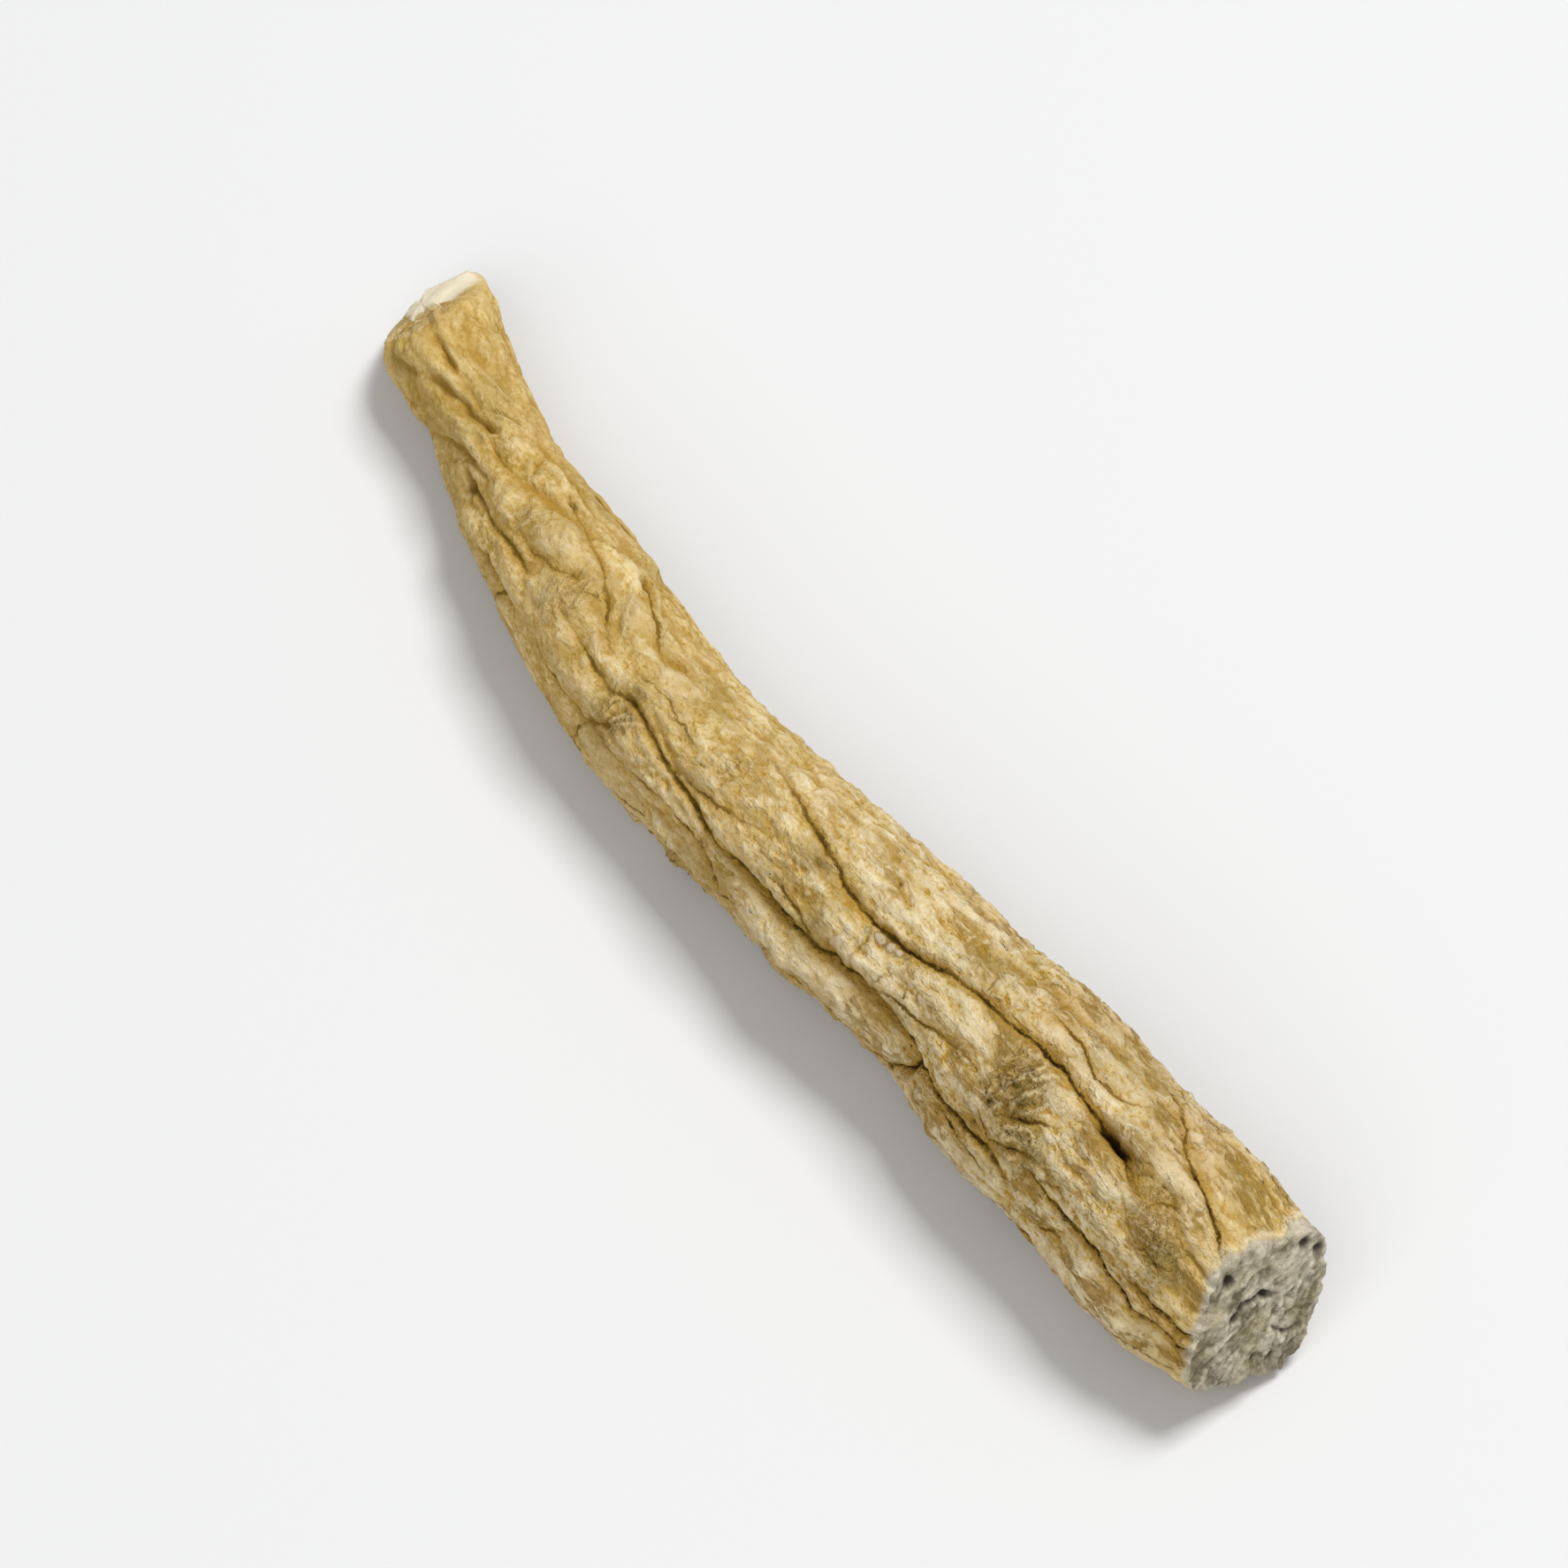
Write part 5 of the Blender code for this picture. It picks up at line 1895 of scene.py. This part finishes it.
@dataclass(frozen=True)
class FleshFinish:
    """The look of the cut flesh: chalk white to grey, cream at the thin end, with painted highlights on its
    raised flakes and painted shade in its pits and cracks.
    """

    white: Colour = (0.58, 0.52, 0.4, 1.0)
    grey: Colour = (0.16, 0.135, 0.085, 1.0)
    olive: Colour = (0.29, 0.24, 0.1, 1.0)
    # Painted shade in the flesh's pits and cracks.
    dark: Colour = (0.07, 0.052, 0.04, 1.0)
    cream: Colour = (0.83, 0.74, 0.54, 1.0)
    blotch_size: float = 0.9
    grain_size: float = 0.25
    tint_size: float = 1.8

    def colour(self, graph: Graph) -> Wire:
        """Paints the flesh.

        Args:
            graph: the material's nodes.

        Returns:
            The colour.
        """
        place = graph.millimetres()
        blotch = graph.noise(place, self.blotch_size, 3.0, 0.55, 0.4) - 0.5
        grain = graph.noise(place, self.grain_size) - 0.5
        # The crest mark paints highlights on the raised flakes and the flap, and whitens the line along the
        # upper rim and the bare flesh beside the skin's edge.
        tone = 0.18 + blotch * 1.3 + grain * 1.1 + graph.attribute("crest") * 0.65
        tint = graph.noise(place, self.tint_size, 1.0).above(0.5, 0.7) * 0.6 + graph.attribute("stain")
        return graph.coats(self.grey, [
            (tone.above(0.1, 0.95), self.white),
            (tint.held() * 0.45, self.olive),
            (graph.attribute("thin_end") * 0.88, self.cream),
            # Painted shade in the pits and cracks.
            (graph.attribute("hollow").above(0.12, 0.65), self.dark),
        ])


@dataclass(frozen=True)
class RootFinish:
    """The root's material: the skin with the flesh showing where it was cut."""

    skin: SkinFinish = SkinFinish()
    flesh: FleshFinish = FleshFinish()
    roughness: float = 0.82
    grain_roughness: float = 0.14
    specular: float = 0.1
    grain_size: float = 0.14
    grain_depth: float = 0.03
    crumb_size: float = 0.4
    crumb_depth: float = 0.13
    wool_depth: float = 0.22
    crinkle_depth: float = 0.07
    fibre_depth: float = 0.04
    furrow_depth: float = 0.04

    def grain(self, graph: Graph) -> Wire:
        """The finest grain, which the relief and the shine both follow."""
        return graph.noise(graph.millimetres(), self.grain_size, 2.0, 0.6)

    def normal(self, paint: SkinPaint) -> Wire:
        """Lays the fine relief: furrows, fibres, creases, wool, crumbs and grain.

        Args:
            paint: the skin's paint, whose creases and wool the relief follows.

        Returns:
            The bent normal.
        """
        graph = paint.graph
        flesh = graph.attribute("flesh")
        skin = 1.0 - flesh
        near = 1.0 - graph.attribute("far") * 0.5
        lines = graph.furrow(Kind.LONG, 0.06, 0.2) * graph.strength(Kind.LONG).above(0.0, 0.3)
        lines = lines + graph.furrow(Kind.SHORT, 0.06, 0.2) * graph.strength(Kind.SHORT).above(0.0, 0.3)
        fibres = graph.furrow(Kind.WELT, 0.14, 0.1) * graph.strength(Kind.WELT).above(0.0, 0.15)
        creases = paint.wrinkles * near + paint.threads * graph.attribute("close") * 0.5
        creases = creases + paint.curls * graph.attribute("scar")
        crumbs = graph.noise(graph.millimetres(), self.crumb_size, 3.0, 0.65) * flesh
        normal = graph.bump(1.0 - lines, self.furrow_depth)
        normal = graph.bump(fibres, self.fibre_depth, normal)
        normal = graph.bump(1.0 - creases * skin, self.crinkle_depth, normal)
        normal = graph.bump(paint.wool * skin * near, self.wool_depth, normal)
        normal = graph.bump(crumbs * (1.0 - graph.attribute("thin_end")), self.crumb_depth, normal)
        return graph.bump(self.grain(graph), self.grain_depth, normal)

    def make(self) -> bpy.types.Material:
        """Builds the material.

        Returns:
            The material.
        """
        material = bpy.data.materials.new("dried_root_skin_and_flesh")
        graph = Graph(material)
        paint = SkinPaint(self.skin, graph)
        flesh = graph.attribute("flesh")
        shader = graph.node("ShaderNodeBsdfPrincipled", {}, {
            "Base Color": graph.mix(flesh, paint.colour(), self.flesh.colour(graph)),
            "Roughness": self.roughness + self.grain(graph) * self.grain_roughness,
            "Normal": self.normal(paint),
            "Specular IOR Level": self.specular,
        })
        graph.node("ShaderNodeOutputMaterial", {}, {"Surface": Wire(graph, shader.outputs[0])})
        return material


@dataclass
class DriedRoot:
    """The whole root as one closed mesh: the skin, then the two cuts that close it."""

    thick_rings: int = 42
    thin_rings: int = 18
    thin_dome: float = 0.3
    thin_round: float = 0.34
    thin_round_reach: float = 0.5
    hollow_reach: float = 0.32
    wide_reach: float = 0.95
    hollow_scale: float = 0.11
    wide_scale: float = 0.26
    hollow_shares: Pair = (0.6, 0.4)
    crest_shares: Pair = (0.55, 0.5)
    chalk: float = 0.9
    thin_stretch: float = 5.0
    faint_share: float = 0.3
    sharp_start: float = 5.0
    sharp_reach: float = 12.0
    full_pit: float = 0.3
    full_soft: float = 0.35
    full_bead: float = 0.12
    far_reach: float = 55.0
    close_start: float = 30.0
    close_reach: float = 20.0
    skin_edge: float = 0.16
    edge_width: float = 0.14
    edge_height: float = 0.05
    edge_angles: Pair = (-60.0, 108.0)
    edge_fade: float = 60.0
    ragged_reach: float = 0.16
    ragged_cell: float = 0.7
    thin_fade: float = 0.5
    notch_share: float = 0.9
    lip_length: float = 0.8
    lip_angles: Pair = (-15.0, 42.0)
    lip_fade: float = 22.0
    thin_margin: float = 0.3
    corner_length: float = 0.95
    corner_angles: Pair = (5.0, 78.0)
    corner_fade: float = 25.0
    warm_reach: float = 4.5
    warm_limit: float = 9.0
    warm_strength: float = 0.75
    warm_uneven: float = 0.25
    warm_cell: float = 2.0
    thin_warm_share: float = 1.6
    thin_end_reach: float = 20.0
    map_name: str = "OFBake"
    skin_share: float = 0.84
    cut_fill: float = 0.95

    def __post_init__(self) -> None:
        """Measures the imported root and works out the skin's relief."""
        self.grid = SkinGrid(RootSurvey())
        self.relief = SkinRelief(self.grid)
        past_edge = self.bare_edge()
        self.bare = eased(past_edge / self.bare_fade() + 0.5)
        self.edge = np.exp(-(((past_edge + self.edge_width) / self.edge_width) ** 2))
        raised = self.relief.heights() + self.edge_height * self.edge
        raised -= self.relief.skin_thickness * self.bare
        raised -= self.thin_round * np.exp(-((self.grid.from_rim(Cut.THIN) / self.thin_round_reach) ** 1.5))
        self.radius = self.grid.radius + raised
        self.marks = self.skin_marks()

    def bare_edge(self) -> np.ndarray:
        """Finds where the skin has shrunk back from the cuts and bares the flesh.

        Returns:
            How far each place of the grid is past the skin's edge, in millimetres.
        """
        grid = self.grid
        shape = grid.x.shape
        shapes = self.relief.shapes
        noise = GrainNoise(Seed.SKIN_EDGE).layers(grid.flat_spots() / self.ragged_cell, 2)
        ragged = self.ragged_reach * noise.reshape(shape)
        angle = turned(grid.angle, 0.0)
        lip = self.lip_length * between(angle, *self.lip_angles, self.lip_fade)
        notch = self.notch_share * (shapes["long_strength"] + shapes["short_strength"])
        edge = self.skin_edge + ragged + notch.reshape(shape)
        thick = edge + lip - grid.from_rim(Cut.THICK)
        corner = self.corner_length * between(angle, *self.corner_angles, self.corner_fade)
        thin = ragged + corner - self.thin_margin - grid.from_rim(Cut.THIN)
        return np.maximum(thick, thin)

    def bare_fade(self) -> np.ndarray:
        """How wide the skin's edge is at each place, in millimetres, wider at the thin end."""
        near_thin = self.grid.from_rim(Cut.THIN) < self.grid.from_rim(Cut.THICK)
        return np.where(near_thin, self.thin_fade, self.edge_width)

    def cavity(self, reach: float) -> np.ndarray:
        """How far each place of the skin lies below what surrounds it, in millimetres."""
        return self.grid.smoothed(self.radius, reach) - self.radius

    def skin_marks(self) -> dict[str, np.ndarray]:
        """Works out what the skin's paint follows.

        Returns:
            A number from 0 to 1 for each place of the grid, by name.
        """
        grid = self.grid
        shape = grid.x.shape
        shapes = {name: values.reshape(shape) for name, values in self.relief.shapes.items()}
        # Hollow paints shade into the skin's hollows and crest paints highlights on its crests, from how
        # far each place lies below or above what surrounds it; on bare flesh away from the thin end, crest
        # carries the flesh's chalk white instead.
        fine = self.cavity(self.hollow_reach) / self.hollow_scale
        wide = self.cavity(self.wide_reach) / self.wide_scale
        fine_share, wide_share = self.hollow_shares
        hollow = fine_share * np.maximum(fine, 0.0) + wide_share * np.maximum(wide, 0.0)
        fine_share, wide_share = self.crest_shares
        crest = fine_share * np.maximum(-fine, 0.0) + wide_share * np.maximum(-wide, 0.0)
        covered = 1.0 - self.bare
        from_thin = grid.from_rim(Cut.THIN)
        past_thin = from_thin > self.thin_stretch
        angle = turned(grid.angle, 0.0)
        sharp = eased((grid.run - self.sharp_start) / self.sharp_reach)
        sharp = covered * (self.faint_share + (1.0 - self.faint_share) * sharp)
        edge = self.edge * covered * between(angle, *self.edge_angles, self.edge_fade)
        return {
            "hollow": np.clip(hollow, 0.0, 1.0) * covered,
            "crest": np.maximum(np.clip(crest, 0.0, 1.0) * covered, self.chalk * self.bare * past_thin),
            "scar": np.clip(shapes["scars"], 0.0, 1.0),
            "pit": np.clip(shapes["pits"] / self.full_pit, 0.0, 1.0),
            "warm": np.maximum(self.warm_ends(), shapes["amber"]) * covered,
            "flesh": self.bare,
            "edge": edge * past_thin,
            "thin_end": eased(1.0 - from_thin / self.thin_end_reach),
            "far": 1.0 - eased(grid.run / self.far_reach),
            "close": eased((grid.run - self.close_start) / self.close_reach) * covered,
            "long_gap": shapes["long_gap"],
            "long_strength": shapes["long_strength"] * sharp,
            "short_gap": shapes["short_gap"],
            "short_strength": shapes["short_strength"] * sharp,
            "soft": np.clip(shapes["soft_depth"] / self.full_soft, 0.0, 1.0) * covered,
            "crease": np.clip(shapes["creases"], 0.0, 1.0) * covered,
            "stain": np.clip(shapes["stains"], 0.0, 1.0) * covered,
            "bead": np.clip(shapes["beads"] / self.full_bead, 0.0, 1.0),
            "welt_gap": shapes["welt_gap"],
            "welt_strength": shapes["welt_strength"] * covered,
        }

    def warm_ends(self) -> np.ndarray:
        """Marks the warmer skin beside both cuts.

        Returns:
            1 beside a cut, fading to 0 away from it.
        """
        grid = self.grid
        nearest = np.minimum(grid.from_rim(Cut.THICK), self.thin_warm_share * grid.from_rim(Cut.THIN))
        noise = GrainNoise(Seed.WARM_ENDS).at(grid.flat_spots() / self.warm_cell)
        uneven = self.warm_uneven * noise.reshape(grid.x.shape) * (nearest < self.warm_limit)
        return np.clip((1.0 - nearest / self.warm_reach) * self.warm_strength + uneven, 0.0, 1.0)

    def skin_points(self) -> np.ndarray:
        """Places the skin's points, none of them below the surface that the root lies on.

        Returns:
            The points, row by row.
        """
        points = self.grid.survey.place(self.grid.x, self.grid.turn, self.radius)
        points[..., 2] = np.maximum(points[..., 2], 0.0)
        return points

    def build(self) -> bpy.types.Object:
        """Makes the root's object.

        Returns:
            The object, with its marks, its map and its material.
        """
        skin = self.skin_points()
        sides = self.grid.sides
        rows = self.grid.rows
        flesh = {
            Cut.THIN: CutFlesh(Cut.THIN, self.thin_rings, skin[0], self.thin_dome),
            Cut.THICK: CutFlesh(Cut.THICK, self.thick_rings, skin[-1]),
        }
        points = np.concatenate([skin.reshape(-1, 3), *(part.points for part in flesh.values())])
        points[:, 2] = np.maximum(points[:, 2], 0.0)
        faces = []
        for row in range(rows):
            for side in range(sides):
                other = (side + 1) % sides
                low = row * sides
                high = low + sides
                faces.append((low + side, high + side, high + other, low + other))
        start = (rows + 1) * sides
        faces += self.disc_faces(Cut.THIN, 0, start, self.thin_rings)
        start += len(flesh[Cut.THIN].points)
        faces += self.disc_faces(Cut.THICK, rows * sides, start, self.thick_rings)
        mesh = bpy.data.meshes.new("codonopsis_root_skin")
        mesh.from_pydata((points * MM).tolist(), [], faces)
        mesh.shade_smooth()
        self.keep_marks(mesh, flesh)
        self.lay_map(mesh)
        mesh.materials.append(RootFinish().make())
        root = bpy.data.objects.new("codonopsis_root_skin", mesh)
        bpy.context.scene.collection.objects.link(root)
        return root

    def disc_faces(self, cut: Cut, rim: int, first: int, rings: int) -> list[tuple[int, ...]]:
        """Joins a cut's rings.

        Args:
            cut: which of the two ends.
            rim: the number of the rim's first point.
            first: the number of the first ring's first point.
            rings: how many rings there are, with the middle point as the last.

        Returns:
            The faces, facing out.
        """
        sides = self.grid.sides
        starts = [rim, *(first + ring * sides for ring in range(rings - 1))]
        middle = first + (rings - 1) * sides
        faces = []
        for side in range(sides):
            other = (side + 1) % sides
            for outer, inner in itertools.pairwise(starts):
                faces.append((outer + side, inner + side, inner + other, outer + other))
            faces.append((starts[-1] + side, middle, starts[-1] + other))
        if cut is Cut.THIN:
            faces = [face[::-1] for face in faces]
        return faces

    def lay_map(self, mesh: bpy.types.Mesh) -> None:
        """Unrolls the skin flat and lays the two cuts above it.

        Args:
            mesh: the root's mesh.
        """
        sides = self.grid.sides
        rows = self.grid.rows
        skin_faces = rows * sides
        layer = mesh.uv_layers.new(name=self.map_name)
        corners = np.zeros(len(mesh.loops), dtype=int)
        mesh.loops.foreach_get("vertex_index", corners)
        starts = np.zeros(len(mesh.polygons), dtype=int)
        mesh.polygons.foreach_get("loop_start", starts)
        points = np.zeros(3 * len(mesh.vertices))
        mesh.vertices.foreach_get("co", points)
        points = points.reshape(-1, 3)[corners] / MM
        face = np.searchsorted(starts, np.arange(len(corners)), side="right") - 1
        row = corners // sides
        side = corners % sides
        last_side = (side == 0) & (face % sides == sides - 1)
        places = np.column_stack([row / rows, (side + sides * last_side) / sides * self.skin_share])
        room = (1.0 - self.skin_share) / 2.0
        first_thick = skin_faces + sides * self.thin_rings
        spans = {Cut.THIN: (skin_faces, first_thick), Cut.THICK: (first_thick, len(starts))}
        for cut, (start, stop) in spans.items():
            chosen = (face >= start) & (face < stop)
            flat = points[chosen][:, 1:]
            flat = flat - flat.mean(axis=0)
            flat *= self.cut_fill * room / np.abs(flat).max()
            places[chosen] = flat + (0.5 + cut.value / 4.0, 1.0 - room)
        layer.data.foreach_set("uv", places.astype(np.float32).ravel())

    def keep_marks(self, mesh: bpy.types.Mesh, flesh: dict[Cut, CutFlesh]) -> None:
        """Stores what the paint follows at each point of the mesh.

        Args:
            mesh: the root's mesh.
            flesh: the two cuts.
        """
        cuts = [(part.marks(), np.zeros(len(part.points))) for part in flesh.values()]
        for name, values in self.marks.items():
            full = np.concatenate([values.ravel(), *(marks.get(name, zeros) for marks, zeros in cuts)])
            layer = mesh.attributes.new(name, "FLOAT", "POINT")
            layer.data.foreach_set("value", full.astype(np.float32))


class Lamp(NamedTuple):
    """A soft square light: its name, its place and its side in metres, and its power in watts."""

    name: str
    place: tuple[float, float, float]
    side: float
    power: float


@dataclass
class Studio:
    """A plain pale floor, soft lights and a camera that looks down on the root as the photograph does."""

    azimuth: float = 56.5
    elevation: float = 55.0
    distance: float = 0.32
    lens: float = 172.0
    aim: tuple[float, float, float] = (0.0, 0.0, 0.0042)
    key: Lamp = Lamp("key", (0.02, 0.38, 0.74), 0.34, 6.15)
    fill: Lamp = Lamp("fill", (0.3, -0.5, 0.55), 0.7, 2.95)
    floor_size: float = 6.0
    floor_drop: float = 0.02
    floor_roughness: float = 0.9
    floor_specular: float = 0.1
    floor_colour: Colour = (0.666, 0.666, 0.666, 1.0)
    sky_colour: Colour = (0.95, 0.96, 0.97, 1.0)
    sky_strength: float = 0.355

    def build(self) -> None:
        """Sets the floor, the lights, the sky and the camera."""
        self.lay_floor()
        self.hang(self.key)
        self.hang(self.fill)
        self.set_sky()
        self.place_camera()
        bpy.context.scene.view_settings.view_transform = "Standard"

    def lay_floor(self) -> None:
        """Lays the floor just under the root."""
        half = self.floor_size / 2.0
        corners = [(-half, -half, 0.0), (half, -half, 0.0), (half, half, 0.0), (-half, half, 0.0)]
        mesh = bpy.data.meshes.new("pale_floor")
        mesh.from_pydata(corners, [], [(0, 1, 2, 3)])
        material = bpy.data.materials.new("pale_floor")
        graph = Graph(material)
        shader = graph.node("ShaderNodeBsdfPrincipled", {}, {
            "Base Color": self.floor_colour,
            "Roughness": self.floor_roughness,
            "Specular IOR Level": self.floor_specular,
        })
        graph.node("ShaderNodeOutputMaterial", {}, {"Surface": Wire(graph, shader.outputs[0])})
        mesh.materials.append(material)
        floor = bpy.data.objects.new("pale_floor", mesh)
        floor.location.z = -self.floor_drop * MM
        bpy.context.scene.collection.objects.link(floor)

    def hang(self, lamp: Lamp) -> None:
        """Hangs a light that shines at the root.

        Args:
            lamp: the light.
        """
        data = bpy.data.lights.new(lamp.name, "AREA")
        data.size = lamp.side
        data.energy = lamp.power
        light = bpy.data.objects.new(lamp.name, data)
        light.location = lamp.place
        light.rotation_euler = Vector(lamp.place).to_track_quat("Z", "Y").to_euler()
        bpy.context.scene.collection.objects.link(light)

    def set_sky(self) -> None:
        """Lights the scene evenly from all round."""
        world = bpy.data.worlds.new("pale_sky")
        world.use_nodes = True
        sky = world.node_tree.nodes["Background"]
        sky.inputs["Color"].default_value = self.sky_colour
        sky.inputs["Strength"].default_value = self.sky_strength
        bpy.context.scene.world = world

    def place_camera(self) -> None:
        """Looks at the root from the photograph's side and height."""
        turn = math.radians(self.azimuth)
        rise = math.radians(self.elevation)
        back = Vector((math.sin(turn) * math.cos(rise), -math.cos(turn) * math.cos(rise), math.sin(rise)))
        data = bpy.data.cameras.new("camera")
        data.lens = self.lens
        camera = bpy.data.objects.new("camera", data)
        camera.location = Vector(self.aim) + back * self.distance
        camera.rotation_euler = back.to_track_quat("Z", "Y").to_euler()
        bpy.context.scene.collection.objects.link(camera)
        bpy.context.scene.camera = camera


def main() -> None:
    """Builds the root and the studio, and says which body the root rides on."""
    logging.basicConfig(level=logging.INFO, format="%(name)s: %(message)s")
    root = DriedRoot().build()
    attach(root, "root")
    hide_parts(NODE)
    log.info("%s: %d points, %d faces", root.name, len(root.data.vertices), len(root.data.polygons))
    Studio().build()
    log.info("studio: floor, lights and camera")


if __name__ == "__main__":
    main()
